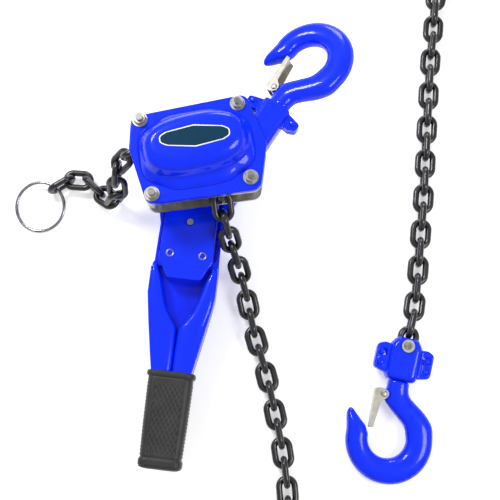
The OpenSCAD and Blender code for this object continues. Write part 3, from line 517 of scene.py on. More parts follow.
def squared(value, power):
    """A sine or cosine, made fuller for a section between an ellipse and a rectangle."""
    return math.copysign(abs(value) ** power, value)


def rounded_outline(corners, radius, steps=8):
    """A closed outline with each corner rounded by an arc; radius may be one number or a list."""
    count = len(corners)
    radii = radius if isinstance(radius, list) else [radius] * count
    out = []
    for i, corner in enumerate(corners):
        p = Vector(corner)
        a = (Vector(corners[i - 1]) - p).normalized()
        b = (Vector(corners[(i + 1) % count]) - p).normalized()
        half = a.angle(b) / 2
        if half > math.radians(89.5):
            out.append(tuple(p))
            continue
        centre = p + (a + b).normalized() * radii[i] / math.sin(half)
        start = p + a * radii[i] / math.tan(half) - centre
        end = p + b * radii[i] / math.tan(half) - centre
        sweep = start.angle_signed(end)
        for k in range(steps + 1):
            out.append(tuple(centre + Vector(turn(start, -sweep * k / steps))))
    return out


def mirrored(outline):
    """The same points on the other side of the middle, in the opposite order."""
    return [(-x, y) for x, y in reversed(outline)]


def arc_points(radius, degrees):
    """Points round the drive shaft at whole degrees."""
    return [polar(radius, math.radians(a)) for a in degrees]


def circle(x, y, radius, count=24):
    """A round hole's outline."""
    around = [polar(radius, i * math.tau / count) for i in range(count)]
    return [(x + dx, y + dy) for dx, dy in around]


def revolved(profile, count=40):
    """Rings of a turned shape about Z, from (radius, height) pairs in millimetres."""
    turns = [i * math.tau / count for i in range(count)]
    return [[Vector((*polar(r * MM, a), z * MM)) for a in turns] for r, z in profile]


def turned_solid(profile):
    """A closed turned solid about Z from (radius, height) pairs in millimetres."""
    return loft(revolved(profile))


def add_modifier(item, name, kind, **settings):
    """A new modifier with its settings."""
    modifier = item.modifiers.new(name, kind)
    for key, value in settings.items():
        setattr(modifier, key, value)


def applied(item):
    """Vertices and faces of an object as its curve or modifiers make it."""
    bpy.context.view_layer.update()
    evaluated = item.evaluated_get(bpy.context.evaluated_depsgraph_get())
    made = bpy.data.meshes.new_from_object(evaluated)
    solid = [v.co.copy() for v in made.vertices], [tuple(p.vertices) for p in made.polygons]
    bpy.data.meshes.remove(made)
    return solid


def pressed_plate(name, outlines, low, high, edge, finish_name, body, stands_for=(), turned=0.0):
    """A flat plate with holes and rounded edges, from outlines in its plane (the first is the
    outer one), turned about the drive shaft. All sizes in millimetres."""
    curve = bpy.data.curves.new(name, "CURVE")
    curve.dimensions = "2D"
    curve.fill_mode = "BOTH"
    curve.extrude = ((high - low) / 2 - edge) * MM
    curve.bevel_depth = edge * MM
    curve.bevel_resolution = 4
    curve.offset = -edge * MM
    for outline in outlines:
        spline = curve.splines.new("POLY")
        spline.points.add(len(outline) - 1)
        spline.use_cyclic_u = True
        for knot, (x, y) in zip(spline.points, outline):
            knot.co = (*turn((x * MM, y * MM), turned), 0, 1)
    maker = bpy.data.objects.new(name + "_maker", curve)
    bpy.context.scene.collection.objects.link(maker)
    solid = carried(Matrix.Translation((0, 0, (low + high) / 2 * MM)), applied(maker))
    bpy.data.objects.remove(maker)
    return new_piece(name, solid, finish_name, body, stands_for)


def soften(node_name, voxel_mm, passes):
    """Rounds every edge of a cast or forged node, as the mould and the paint leave it."""
    item = frame["nodes"][node_name]
    skin = {"mode": "VOXEL", "voxel_size": voxel_mm * MM, "use_smooth_shade": True}
    add_modifier(item, "cast_skin", "REMESH", **skin)
    add_modifier(item, "cast_edges", "SMOOTH", factor=0.5, iterations=passes)


def soften_edges(width_mm, *node_names):
    """A small bevel on every sharp edge of machined or pressed nodes."""
    for node_name in node_names:
        add_modifier(
            frame["nodes"][node_name],
            "broken_edges",
            "BEVEL",
            width=width_mm * MM,
            segments=2,
            limit_method="ANGLE",
            angle_limit=math.radians(40),
            harden_normals=True,
        )


def dress(finish_name, *node_names):
    """Gives carried-over nodes their finish."""
    for node_name in node_names:
        mesh = frame["nodes"][node_name].data
        mesh.materials.clear()
        mesh.materials.append(finish(finish_name))
        mesh.shade_smooth()
        mesh.set_sharp_from_angle(angle=math.radians(32))


# ---- Gear cover and badge ----

# Half spans of the stay bolts, which the cover and its flange follow
BOLT_X = 58.5
BOLT_Y = 46.0
# Heights of the flange's two faces and of the top of the dome
FLANGE_FOOT = 122.0
FLANGE_TOP = 129.0
DOME_TOP = 157.0
# Middle of the badge, along and across it, and how far its rim shows round the field
BADGE_X = 1.7
BADGE_Y = 6.3
BADGE_RIM = 1.4


def cover_level(half_x, half_y, power, bite, twist, z, off_x, off_y, count=240):
    """One level of the cover: a rounded rectangle, bitten in round the four bolts."""
    bolt = math.atan2(BOLT_Y, BOLT_X)
    bolts = (bolt, math.pi - bolt, math.pi + bolt, math.tau - bolt)
    ring = []
    for i in range(count):
        a = i * math.tau / count
        x, y = superellipse(a, half_x, half_y, power)
        off = min(abs(a - b) for b in bolts)
        cut = bite * math.exp(-((off / math.radians(12)) ** 2))
        pull = 1 - cut / math.hypot(x, y)
        x, y = turn((x * pull, y * pull), math.radians(twist))
        x, y = turn((x + off_x, y + off_y), sizes().body_turn)
        ring.append(at_mm(x, y, z))
    return ring


def flange_outline():
    """The six-sided foot that the cover's nuts hold down."""
    corners = [
        (-BOLT_X - 10, BOLT_Y + 6),
        (-BOLT_X - 18.5, 13),
        (-BOLT_X - 8, -BOLT_Y - 11),
        (BOLT_X + 9, -BOLT_Y - 16),
        (BOLT_X + 26, -8),
        (BOLT_X + 12, BOLT_Y + 10.5),
    ]
    return rounded_outline(corners, 11)


class HOIST_OT_gear_cover(bpy.types.Operator):
    """Casts the gear cover with its foot, its oval dome and its flange"""

    bl_idname = "hoist.gear_cover"
    bl_label = "Gear cover"

    def execute(self, context):
        # half x, half y, squareness, bite, twist, height, offset x, offset y
        levels = [
            (70.0, 48.3, 3.1, 4, 0, 127.5, 1.5, -0.5),
            (68.8, 47.2, 3.1, 4, 0, 129.3, 1.5, -0.5),
            (67.6, 45.9, 3.1, 4, 0, 131.4, 1.5, -0.4),
            (66.4, 44.2, 3.0, 3.5, 0.3, 133.4, 1.4, 0.0),
            (65.2, 42.2, 2.9, 3, 0.8, 135.2, 1.3, 0.7),
            (64.0, 39.8, 2.9, 2, 1.4, 136.7, 1.1, 1.6),
            (62.9, 37.6, 2.8, 1, 2.0, 138.4, 0.9, 2.4),
            (61.6, 35.8, 2.7, 0, 2.6, 141.4, 0.7, 2.9),
            (60.1, 34.0, 2.6, 0, 3.0, 146.0, 0.6, 3.2),
            (58.4, 31.4, 2.6, 0, 3.3, 150.2, 0.7, 3.7),
            (55.8, 28.0, 2.55, 0, 3.5, 153.8, 1.0, 4.5),
            (51.5, 23.4, 2.5, 0, 3.5, 156.2, 1.3, 5.2),
            (46.5, 18.6, 2.4, 0, 3.5, DOME_TOP, 1.6, 5.6),
            (30.0, 10.0, 2.3, 0, 3.5, DOME_TOP, 1.8, 5.8),
        ]
        shell = loft([cover_level(*row) for row in smooth_rows(levels, 5)])
        cover = new_piece("cast_gear_cover", shell, "blue_enamel", "hoist_frame", ["gear_cover"])
        flange = pressed_plate(
            "cover_flange",
            [flange_outline()],
            FLANGE_FOOT,
            FLANGE_TOP,
            1.6,
            "blue_enamel",
            "hoist_frame",
            turned=sizes().body_turn,
        )
        return {"FINISHED"}


def badge_outline(half, side):
    """A long shield: short upright ends, and a shallow point in the middle of each long side."""
    upper = [(half, 0.3 * side), (0.8 * half, 0.62 * side), (0, side)]
    upper += mirrored(upper[:2])
    lower = [(-x, -y) for x, y in upper]
    return rounded_outline(upper[-1:] + lower + upper[:-1], [5, 5, 7, 1, 7, 5, 5, 7, 1, 7])


class HOIST_OT_badge(bpy.types.Operator):
    """Sets the bare badge plate on the dome"""

    bl_idname = "hoist.badge"
    bl_label = "Badge"

    def execute(self, context):
        half, side = sizes().badge_length / 2 / MM, sizes().badge_width / 2 / MM
        across, along = (half - BADGE_RIM) / half, (side - BADGE_RIM) / side
        plain = badge_outline(half, side)
        rim = [(x + BADGE_X, y + BADGE_Y) for x, y in plain]
        field = [(x * across + BADGE_X, y * along + BADGE_Y) for x, y in plain]
        # name, outline, underside and top above the dome, edge, finish
        layers = (
            ("badge_plate", rim, -1, 0.7, 0.3, "badge_rim"),
            ("badge_field", field, 0, 0.85, 0.1, "badge_field"),
        )
        for name, outline, low, high, edge, finish_name in layers:
            piece = pressed_plate(
                name,
                [outline],
                DOME_TOP + low,
                DOME_TOP + high,
                edge,
                finish_name,
                "hoist_frame",
                turned=sizes().body_turn + math.radians(-3),
            )
        return {"FINISHED"}


# ---- Frame ----

# The stay bolts' threads: radius, pitch, and the heights of the two stretches that show
STUD_RADIUS = 3.55
STUD_PITCH = 1.1
STUD_ENDS = ((137.5, 140.8), (70.3, 71.9))


class HOIST_OT_side_plates(bpy.types.Operator):
    """Finishes the two side plates, the stay bolts and the guide parts between them"""

    bl_idname = "hoist.side_plates"
    bl_label = "Side plates"

    def execute(self, context):
        dress("zinc_plate", "front_side_plate", "back_side_plate", "chain_stripper")
        soften_edges(0.5, "front_side_plate", "back_side_plate")
        dress("bright_steel", "stay_bolts", "guide_rollers", "top_pin")
        dress("bright_steel", "front_bearing", "back_bearing")
        return {"FINISHED"}


def thread(radius, pitch, low, high, steps=28):
    """Vertices and faces of a rolled thread about Z: a ridge that winds up a stud."""
    count = int((high - low) / pitch) * steps
    vertices, faces = [], []
    for i in range(count + 1):
        z = low + pitch * i / steps
        # The ridge runs out to nothing over its first and last turn
        taper = min(1.0, i / steps, (count - i) / steps)
        for r, rise in ((radius - 0.15, -0.48), (radius + 0.5 * taper, 0.0), (radius - 0.15, 0.48)):
            x, y = polar(r, i * math.tau / steps)
            vertices.append(at_mm(x, y, z + rise * pitch))
        if i:
            b = 3 * (i - 1)
            faces += [(b, b + 3, b + 4, b + 1), (b + 1, b + 4, b + 5, b + 2)]
    return vertices, faces


class HOIST_OT_corner_fasteners(bpy.types.Operator):
    """Finishes the corner nuts and washers and cuts the threads of the studs"""

    bl_idname = "hoist.corner_fasteners"
    bl_label = "Corner fasteners"

    def execute(self, context):
        dress("zinc_plate", "cover_washers", "cover_nuts", "rear_nuts")
        dress("zinc_plate", "hand_wheel_nut", "chain_pin_nut")
        soften_edges(0.35, "cover_nuts", "rear_nuts")
        threads = []
        for bolt in ((sx * BOLT_X, sy * BOLT_Y) for sx in (-1, 1) for sy in (-1, 1)):
            place = Matrix.Translation(at_mm(*turn(bolt, sizes().body_turn), 0))
            for low, high in STUD_ENDS:
                threads.append(carried(place, thread(STUD_RADIUS, STUD_PITCH, low, high)))
        piece = new_piece("stud_threads", joined(*threads), "zinc_plate", "hoist_frame")
        return {"FINISHED"}


# ---- Brake and works ----


class HOIST_OT_brake(bpy.types.Operator):
    """Finishes the brake cover and what it holds"""

    bl_idname = "hoist.brake"
    bl_label = "Brake"

    def execute(self, context):
        dress("blue_enamel", "brake_cover")
        soften_edges(0.8, "brake_cover")
        dress("bright_steel", "ratchet_disc", "disc_hub", "brake_pawls")
        dress("friction_lining", "friction_discs")
        return {"FINISHED"}


class HOIST_OT_works(bpy.types.Operator):
    """Finishes the gears, shafts and hand wheel"""

    bl_idname = "hoist.works"
    bl_label = "Gears and hand wheel"

    def execute(self, context):
        dress("bright_steel", "drive_shaft", "drive_pinion", "change_gear", "load_gear")
        dress("bright_steel", "change_pawl")
        for number in (1, 2):
            for part in ("gear", "pinion", "shaft"):
                dress("bright_steel", f"idler_{part}_{number}")
        dress("black_oxide_steel", "load_sheave")
        dress("blue_enamel", "hand_wheel")
        soften_edges(0.8, "hand_wheel")
        dress("black_rubber", "hand_wheel_cap")
        return {"FINISHED"}


# ---- Lever ----

# Heights of the lever's underside and of its top, under the head plate
LEVER_FLOOR = 28.0
LEVER_TOP = 60.0
# The channel's low walls stand this high round the works
CHANNEL_DEPTH = 12.0
WALL_EDGE = 1.2
# The round head about the drive shaft, and the opening for the brake inside it
HEAD_RADIUS = 60
HUB_RADIUS = 54
# Holes for the selector's pin and for the right-hand rivet: across, down and radius
PIN_HOLE = (0, -74, 4.3)
RIVET_HOLE = (20, -114.5, 3.2)
# Right edge of the lever from its head down to the grip
LEVER_EDGE = [
    (60, 0),
    (58.7, -12),
    (53, -35),
    (43, -56),
    (39, -74),
    (40, -118),
    (41, -133),
    (41, -165),
    (35, -202),
    (27, -245),
    (22, -269),
    (20.5, -361),
]
# Left edge of the open trough, and the foot that the head plate and its fold share
TROUGH_EDGE = [(-34, -128), (-33, -165), (-27, -202), (-20, -240), (-14, -275), (-14, -355)]
PLATE_FOOT = [(-33, -121), (-21, -145), (21, -145), (33, -121)]
# The curled rims: the roll along the crown, the foot of the outer side, and the inner lip
RIM_ROLL = 7.5
RIM_FOOT = 38.5
RIM_LIP = 16


def lever_outline():
    """Right edge down to the grip, the left edge back up and the arc of the head."""
    return LEVER_EDGE + mirrored(LEVER_EDGE) + arc_points(HEAD_RADIUS, range(174, 0, -6))


def hub_opening(room, steps=60):
    """The opening at the hub and the room below it as one outline: the circle's upper part,
    then the room's left side, its foot and its right side."""
    below = [p for p in room if p[1] < -44]
    left = sorted((p for p in below if p[0] < 0), key=lambda p: -p[1])
    right = sorted((p for p in below if p[0] > 0), key=lambda p: p[1])
    side = right[-1][0]
    start = math.atan2(-math.sqrt(HUB_RADIUS**2 - side**2), side)
    sweep = math.pi - 2 * start
    arc = [polar(HUB_RADIUS, start + sweep * k / steps) for k in range(steps + 1)]
    return arc + left + right


def curled_rim(side, count=26):
    """A rim of the pressed channel, curled over from the shoulder down to the seam, as rings
    across a strip whose inner edge runs in to the middle."""
    rows = smooth_rows(
        [
            # distance down, outer edge, inner edge, height of the crown
            (126, 40.0, 34.6, 56.5),
            (134, 41.0, 32.0, 60.2),
            (145, 41.2, 27.5, 61.2),
            (165, 41.0, 22.0, 61.4),
            (183, 38.6, 15.5, 61.2),
            (197, 35.8, 6.5, 61.0),
            (205, 34.4, 1.6, 60.8),
            (225, 30.8, 0.5, 60.6),
            (245, 27.0, 0.4, 60.4),
            (262, 23.2, 0.4, 60.2),
        ],
        5,
    )
    rings = []
    for down, outer, inner, crown in rows:
        half = (outer - inner) / 2
        middle = (outer + inner) / 2
        ring = []
        for i in range(count):
            c, s = polar(1, i * math.tau / count)
            deep = crown - RIM_ROLL - RIM_FOOT if s < 0 else RIM_ROLL
            z = crown - RIM_ROLL + deep * squared(s, 0.7)
            if s < 0 and c < 0:
                z = max(z, crown - RIM_LIP)
            x, y = turn((side * (middle + half * squared(c, 0.7)), -down), sizes().lever_turn)
            ring.append(at_mm(x, y, z))
        rings.append(ring)
    return loft(rings)


class HOIST_OT_lever(bpy.types.Operator):
    """Presses the lever's channel with its curled rims and open trough"""

    bl_idname = "hoist.lever"
    bl_label = "Lever"

    def execute(self, context):
        angle = sizes().lever_turn
        corners = [(-35, -40), (-36, -112), (-29, -124)]
        room = rounded_outline(corners + mirrored(corners), 5)
        trough = rounded_outline(TROUGH_EDGE + mirrored(TROUGH_EDGE), 3)
        channel = pressed_plate(
            "lever_channel",
            [lever_outline(), hub_opening(room), trough],
            LEVER_FLOOR,
            LEVER_FLOOR + CHANNEL_DEPTH,
            WALL_EDGE,
            "blue_enamel",
            "lever",
            ["lever_arm"],
            angle,
        )
        floor = pressed_plate(
            "lever_floor",
            [lever_outline(), circle(0, 0, 24, 48), circle(*PIN_HOLE)],
            LEVER_FLOOR,
            LEVER_FLOOR + 4,
            1.4,
            "blue_enamel",
            "lever",
            turned=angle,
        )
        # Full height only beside the trough and round the brake
        right = [p for p in LEVER_EDGE if p[1] <= -130] + mirrored(TROUGH_EDGE)
        hoop = arc_points(HEAD_RADIUS, range(-40, 221, 5))
        hoop += arc_points(HUB_RADIUS, range(220, -41, -5))
        walls = (
            ("lever_wall_right", right),
            ("lever_wall_left", [(-x, y) for x, y in right]),
            ("lever_wall_head", hoop),
        )
        heights = LEVER_FLOOR, LEVER_TOP, WALL_EDGE
        for name, shape in walls:
            wall = pressed_plate(name, [shape], *heights, "blue_enamel", "lever", turned=angle)
        rims = joined(curled_rim(-1), curled_rim(1))
        new_piece("lever_rims", rims, "blue_enamel", "lever")
        return {"FINISHED"}


def rivet_collar(side):
    """The rolled collar of one rivet, on the head plate."""
    # radius, height over the plate's underside
    profile = [(2.3, 0.6), (2.5, 1.8), (2.9, 3.1), (3.8, 3.7), (4.7, 3.4), (5.2, 2.6), (5.3, 1.9)]
    x, y = turn((RIVET_HOLE[0] * side, RIVET_HOLE[1]), sizes().lever_turn)
    return carried(Matrix.Translation(at_mm(x, y, LEVER_TOP)), open_loft(revolved(profile)))


class HOIST_OT_head_plate(bpy.types.Operator):
    """Presses the lever's head plate and sets its rivets and the selector's pin"""

    bl_idname = "hoist.head_plate"
    bl_label = "Head plate"

    def execute(self, context):
        outline = rounded_outline([(-32, -46), *PLATE_FOOT, (32, -46)], [2, 8, 5, 5, 8, 2])
        across, down, radius = RIVET_HOLE
        plate = pressed_plate(
            "pressed_head_plate",
            [
                hub_opening(outline),
                circle(0, 0, 36, 64),
                circle(*PIN_HOLE),
                circle(-across, down, radius),
                circle(across, down, radius),
            ],
            LEVER_TOP,
            LEVER_TOP + 2,
            0.95,
            "blue_enamel",
            "lever",
            ["lever_plate"],
            sizes().lever_turn,
        )
        # The plate's folded edge, from below the hub round its foot
        fold = rounded_outline([(-32.1, -56), *PLATE_FOOT, (32.1, -56)], [1, 8, 5, 5, 8, 1])
        inner = [(x * 0.945, y + 1.7 if y < -140 else y) for x, y in reversed(fold)]
        skirt = pressed_plate(
            "head_plate_fold",
            [fold + inner],
            LEVER_TOP - 28,
            LEVER_TOP + 1,
            0.5,
            "blue_enamel",
            "lever",
            turned=sizes().lever_turn,
        )
        pair = joined(rivet_collar(-1), rivet_collar(1))
        collars = new_piece("rivet_collars", pair, "zinc_plate", "lever")
        dress("zinc_plate", "selector_pin")
        dress("blue_enamel", "lever_rivets")
        soften_edges(0.4, "selector_pin")
        return {"FINISHED"}


# ---- Grip ----

# Far end of the grip from the drive shaft, and half its height
GRIP_END = 373.0
GRIP_DEEP = 17.5
# The sunk panel on each face and the diamonds that stand in it
PANEL_HALF = 17.5
PANEL_SUNK = 0.45
DIAMOND_RISE = 0.75
DIAMOND_WIDTH = 5.6
DIAMOND_LENGTH = 9.5
GROOVE_HALF = 0.16
# The ribs across each side
RIB_HALF = 11
RIB_RISE = 0.9
RIB_PITCH = 4.4


def resampled(outline, count):
    """A closed outline as evenly spaced points."""
    points = [Vector(p) for p in outline]
    lengths = [(points[(i + 1) % len(points)] - p).length for i, p in enumerate(points)]
    step = sum(lengths) / count
    out, i, walked = [], 0, 0.0
    for k in range(count):
        want = k * step
        while walked + lengths[i] < want:
            walked += lengths[i]
            i += 1
        share = (want - walked) / lengths[i] if lengths[i] else 0
        out.append(points[i].lerp(points[(i + 1) % len(points)], share))
    return out


def groove(value):
    """1 in the middle of each groove of a repeating line, 0 outside it."""
    off = abs(value - round(value))
    return max(0.0, 1 - off / GROOVE_HALF) ** 0.6


def grip_relief(x, height, down, start):
    """How far the mould lifts or cuts the grip's skin at a point, in millimetres."""
    lift = 0.0
    on_panel = abs(x) < PANEL_HALF and start + 15 < down < GRIP_END - 18
    if on_panel and abs(height) > 15:
        lift -= PANEL_SUNK
        if abs(x) < PANEL_HALF - 0.8:
            across, along = x / DIAMOND_WIDTH, down / DIAMOND_LENGTH
            lift += DIAMOND_RISE * (1 - max(groove(across + along), groove(across - along)))
    on_side = abs(x) > 20 and start + 14 < down < GRIP_END - 16
    if on_side and abs(height) < RIB_HALF:
        wave = 0.5 + 0.5 * math.cos(math.tau * down / RIB_PITCH)
        lift += RIB_RISE * wave * (1 - abs(height) / RIB_HALF) ** 0.3
    return lift


def grip_rows(start, half):
    """Sections of the grip: distance down, half width, half height and corner radius."""
    length, deep, end = GRIP_END - start, GRIP_DEEP, GRIP_END
    profile = [
        (start, half - 0.8, deep - 1.0, 8.5),
        (start + 0.8, half + 1.2, deep + 0.6, 9.5),
        (start + 2.4, half + 2, deep + 1.4, 10),
        (start + 5.2, half + 2, deep + 1.4, 10),
        (start + 6.9, half + 1, deep + 0.8, 9.5),
        (start + 7.6, half - 0.5, deep - 0.4, 9),
        (start + 9.5, half - 0.3, deep, 9),
        (start + 0.55 * length, half - 1.2, deep, 9),
        (end - 15.5, half - 2.4, deep, 9),
        (end - 13.6, half - 2.9, deep - 0.5, 8.5),
        (end - 12.8, half - 2.2, deep + 0.3, 9),
        (end - 10, half - 0.9, deep + 1, 9.5),
        (end - 5, half - 1.0, deep + 1, 9.5),
        (end - 2, half - 2.4, deep - 0.6, 8.5),
        (end - 0.5, half - 5.5, deep - 3.6, 6.5),
        (end, half - 9, deep - 7, 4.5),
    ]
    rows = []
    for row, after in zip(profile, profile[1:]):
        steps = max(2, round((after[0] - row[0]) / 0.55))
        for k in range(steps):
            t = k / steps
            # Short steps of the profile are rounded, the long flanks run straight
            ease = t if steps > 8 else t * t * (3 - 2 * t)
            shares = (t, ease, ease, ease)
            rows.append([p + (q - p) * share for p, q, share in zip(row, after, shares)])
    rows.append(list(profile[-1]))
    return rows


def outwards(x, height, half_w, half_h):
    """Which way the grip's skin faces at a point of its section."""
    if abs(height) > half_h - 0.3:
        return Vector((0, math.copysign(1, height)))
    if abs(x) > half_w - 0.3:
        return Vector((math.copysign(1, x), 0))
    return Vector((x / half_w**2, height / half_h**2)).normalized()


class HOIST_OT_grip(bpy.types.Operator):
    """Moulds the rubber grip with its lip, cross-hatched panels, side ribs and end collar"""

    bl_idname = "hoist.grip"
    bl_label = "Grip"

    def execute(self, context):
        start = GRIP_END - sizes().grip_length / MM
        middle = (LEVER_FLOOR + LEVER_TOP) / 2
        rings = []
        for down, half_w, half_h, radius in grip_rows(start, sizes().grip_width / 2 / MM):
            corners = [(half_w, -half_h), (half_w, half_h)]
            corners += [(-half_w, half_h), (-half_w, -half_h)]
            ring = []
            for x, height in resampled(rounded_outline(corners, radius, 10), 300):
                lift = grip_relief(x, height, down, start)
                skin = Vector((x, height)) + outwards(x, height, half_w, half_h) * lift
                x, y = turn((skin.x, -down), sizes().lever_turn)
                ring.append(at_mm(x, y, middle + skin.y))
            rings.append(ring)
        grip = new_piece("moulded_grip", loft(rings), "black_rubber", "lever", ["grip"])
        return {"FINISHED"}


# ---- Chain ----


class HOIST_OT_chain(bpy.types.Operator):
    """Finishes the load chain, its pin and the tail's ring"""

    bl_idname = "hoist.chain"
    bl_label = "Chain"

    def execute(self, context):
        dress("black_oxide_steel", "load_chain", "chain_over_sheave", "tail_chain")
        dress("chrome_ring", "tail_ring")
        dress("bright_steel", "chain_pin")
        soften_edges(0.4, "chain_pin")
        soften_edges(0.5, "chain_pin_nut")
        return {"FINISHED"}


# ---- Hooks ----

# Half thickness of a hook, and the size that its sections were first drawn at
HOOK_HALF = 13.0
HOOK_DRAWN = 56.2
# Where the latch turns, from the middle of the bowl
LATCH_X = -15.5
LATCH_Y = 52
# From the middle of each bowl to the pin that its yoke or block swings on
TOP_REACH = 124.5
BOTTOM_REACH = 114.5


def joint(name):
    """The frame's joint of that name."""
    return next(j for j in frame["joints"] if j["name"] == name)


def hook_frame(swing, swivel, roll, reach_mm):
    """Places a hook: its bowl is at the origin and its shank runs up +Y to its pin."""
    across = Vector(joint(swing)["axis"]).normalized()
    along = -Vector(joint(swivel)["axis"]).normalized()
    pin = Vector(joint(swing)["pos_m"])
    facing = Matrix((along.cross(across), along, across)).transposed().to_4x4()
    rolled = Matrix.Rotation(roll, 4, "Y")
    return Matrix.Translation(pin) @ facing @ rolled @ Matrix.Translation(at_mm(0, -reach_mm, 0))


def bowl_section(degrees, half):
    """A section across the bowl, widest where the load hangs."""
    bowl, wide = sizes().bowl_radius / MM, sizes().bowl_width / MM
    a = math.radians(degrees)
    width = wide - 3 + 3 * math.cos(math.radians(degrees + 20))
    return [*polar(bowl + width, a), *polar(bowl, a), half]


def hook_rows():
    """Sections of a hook from its neck round the bowl to the tip: outer point, inner point and
    half thickness, in millimetres."""
    k = (sizes().bowl_radius + sizes().bowl_width) / MM / HOOK_DRAWN
    t = HOOK_HALF
    neck = [
        [12.3, 71.1, -12.3, 71.1, t - 1.8],
        [13.3, 69.6, -13.3, 69.6, t - 1],
        [13.6, 64, -13.3, 62, t - 1],
        [16.5, 56, -14.3, 53, t - 1],
        [24.5, 49.5, -12.5, 45, t - 0.8],
        [36, 42, -4, 36.5, t - 0.4],
        [45.5 * k, 33.5 * k, 8 * k, 27 * k, t],
        [51.8 * k, 24 * k, 17.5 * k, 18.5 * k, t],
    ]
    bowl = [bowl_section(degrees, t) for degrees in range(10, -171, -12)]
    tip = [
        bowl_section(180, t - 0.3),
        [-52.5 * k, 10 * k, -28.5 * k, 9.5 * k, t - 1.2],
        [-54 * k, 17 * k, -36 * k, 16 * k, t - 3.5],
        [-54.2 * k, 22 * k, -42.6 * k, 22 * k, t - 6],
        [-53.2 * k, 25.6 * k, -47 * k, 26 * k, t - 8.8],
        [-51.5 * k, 27.2 * k, -49.5 * k, 27.3 * k, t - 11],
    ]
    return neck + bowl + tip


def hook_section(row, count=44):
    """One section as a ring, a little fuller than an ellipse."""
    outer, inner, half = Vector(row[:2]), Vector(row[2:4]), row[4]
    middle, arm = (outer + inner) / 2, (outer - inner) / 2
    ring = []
    for i in range(count):
        c, s = polar(1, i * math.tau / count)
        at = middle + arm * squared(c, 0.88)
        ring.append(at_mm(at.x, at.y, half * squared(s, 0.88)))
    return ring


def forged(solids, cutters, voxel_mm, passes):
    """Joins solids, cuts others out of them and rounds the edges, as a forging has them."""
    skin = {"mode": "VOXEL", "voxel_size": voxel_mm * MM}
    blanks = []
    for group in (solids, cutters):
        blank = bpy.data.objects.new("blank", solid_mesh("blank", *joined(*group)))
        bpy.context.scene.collection.objects.link(blank)
        add_modifier(blank, "skin", "REMESH", **skin)
        blanks.append(blank)
    forging, cutter = blanks
    add_modifier(forging, "cut", "BOOLEAN", operation="DIFFERENCE", solver="EXACT", object=cutter)
    add_modifier(forging, "skin_again", "REMESH", **skin)
    add_modifier(forging, "edges", "SMOOTH", factor=0.5, iterations=passes)
    solid = applied(forging)
    for blank in blanks:
        bpy.data.objects.remove(blank)
    return solid


def hook_forging():
    """A hook about its bowl: the bent bar, the lug of the latch and the flats beside it."""
    rings = [hook_section(row) for row in smooth_rows(hook_rows(), 4)]
    pivot = Matrix.Translation(at_mm(LATCH_X, LATCH_Y, 0))
    lug = turned_solid([(5.4, -7.5), (6.2, -6.8), (6.2, 6.8), (5.4, 7.5)])
    flats = [turned_solid([(8.2, low), (8.2, low + 18.4)]) for low in (-26, 7.6)]
    return forged([loft(rings), carried(pivot, lug)], [carried(pivot, flat) for flat in flats], 0.9, 7)


class HOIST_OT_hooks(bpy.types.Operator):
    """Forges both hooks with their tapered bowls, necks and latch lugs"""

    bl_idname = "hoist.hooks"
    bl_label = "Hooks"

    def execute(self, context):
        blank = hook_forging()
        top = hook_frame("top_yoke_swing", "top_hook_swivel", math.radians(202), TOP_REACH)
        low = hook_frame("bottom_block_swing", "bottom_hook_swivel", 0.0, BOTTOM_REACH)
        for name, place, body, node_name in (
            ("forged_top_hook", top, "top_hook_body", "top_hook"),
            ("forged_bottom_hook", low, "bottom_hook_body", "bottom_hook"),
        ):
            piece = new_piece(name, carried(place, blank), "forged_enamel", body, [node_name])
        dress("bright_steel", "top_hook_nut", "bottom_hook_nut")
        return {"FINISHED"}


# ---- Yoke and block ----


def slab(outline, levels):
    """A solid over an outline in millimetres, drawn in by so much at each height."""
    xs, ys = zip(*outline)
    mid_x, mid_y = (min(xs) + max(xs)) / 2, (min(ys) + max(ys)) / 2
    half_x, half_y = (max(xs) - min(xs)) / 2, (max(ys) - min(ys)) / 2
    rings = []
    for z, inset in levels:
        in_x, in_y = 1 - inset / half_x, 1 - inset / half_y
        drawn = [(mid_x + (x - mid_x) * in_x, mid_y + (y - mid_y) * in_y) for x, y in outline]
        rings.append([at_mm(x, y, z) for x, y in drawn])
    return loft(rings)


def block_ear(side):
    """One ear of the block and the recess that is cut into it."""
    edge = [(13.5, -38), (35.5, -33), (35.5, -3), (27, 1), (13.5, -1)]
    hollow = [(22, -33), (32.5, -29.5), (32.5, -9), (22, -6)]
    ear = rounded_outline([(x * side, y) for x, y in edge], [1, 6, 6, 5, 1])
    recess = rounded_outline([(x * side, y) for x, y in hollow], 4)
    # height, drawn in by
    return (
        slab(ear, [(0.2, 0.5), (0.9, 0), (7.8, 0.2), (9, 1.4)]),
        slab(recess, [(7.5, 0.6), (8.2, 0), (12, -1)]),
    )


def block_forging():
    """Half of the bottom block about its pin: the rounded shell with its two recessed ears, and
    the chain's slot, the hook's socket and the pin's bore cut out of it."""
    corners = [(-19.5, -43), (19.5, -43), (19.5, 1), (13, 11), (-13, 11), (-19.5, 1)]
    # height, drawn in by
    crown = [(0.2, 0.6), (1, 0), (9, 0.3), (12.5, 1.4), (15, 3.2), (16.2, 5.4), (16.5, 8)]
    shell = slab(rounded_outline(corners, 6), crown)
    lying = Matrix.Rotation(math.radians(90), 4, "X")
    (left_ear, left_recess), (right_ear, right_recess) = block_ear(-1), block_ear(1)
    cutters = [
        slab([(-30, -16), (30, -16), (30, 40), (-30, 40)], [(-2, 0), (6, 0)]),
        carried(lying, turned_solid([(13.6, 16), (13.6, 31)])),
        carried(lying, turned_solid([(9.4, 29), (9.4, 60)])),
        turned_solid([(4.9, -2), (4.9, 30)]),
        left_recess,
        right_recess,
    ]
    return forged([shell, left_ear, right_ear], cutters, 0.8, 6)


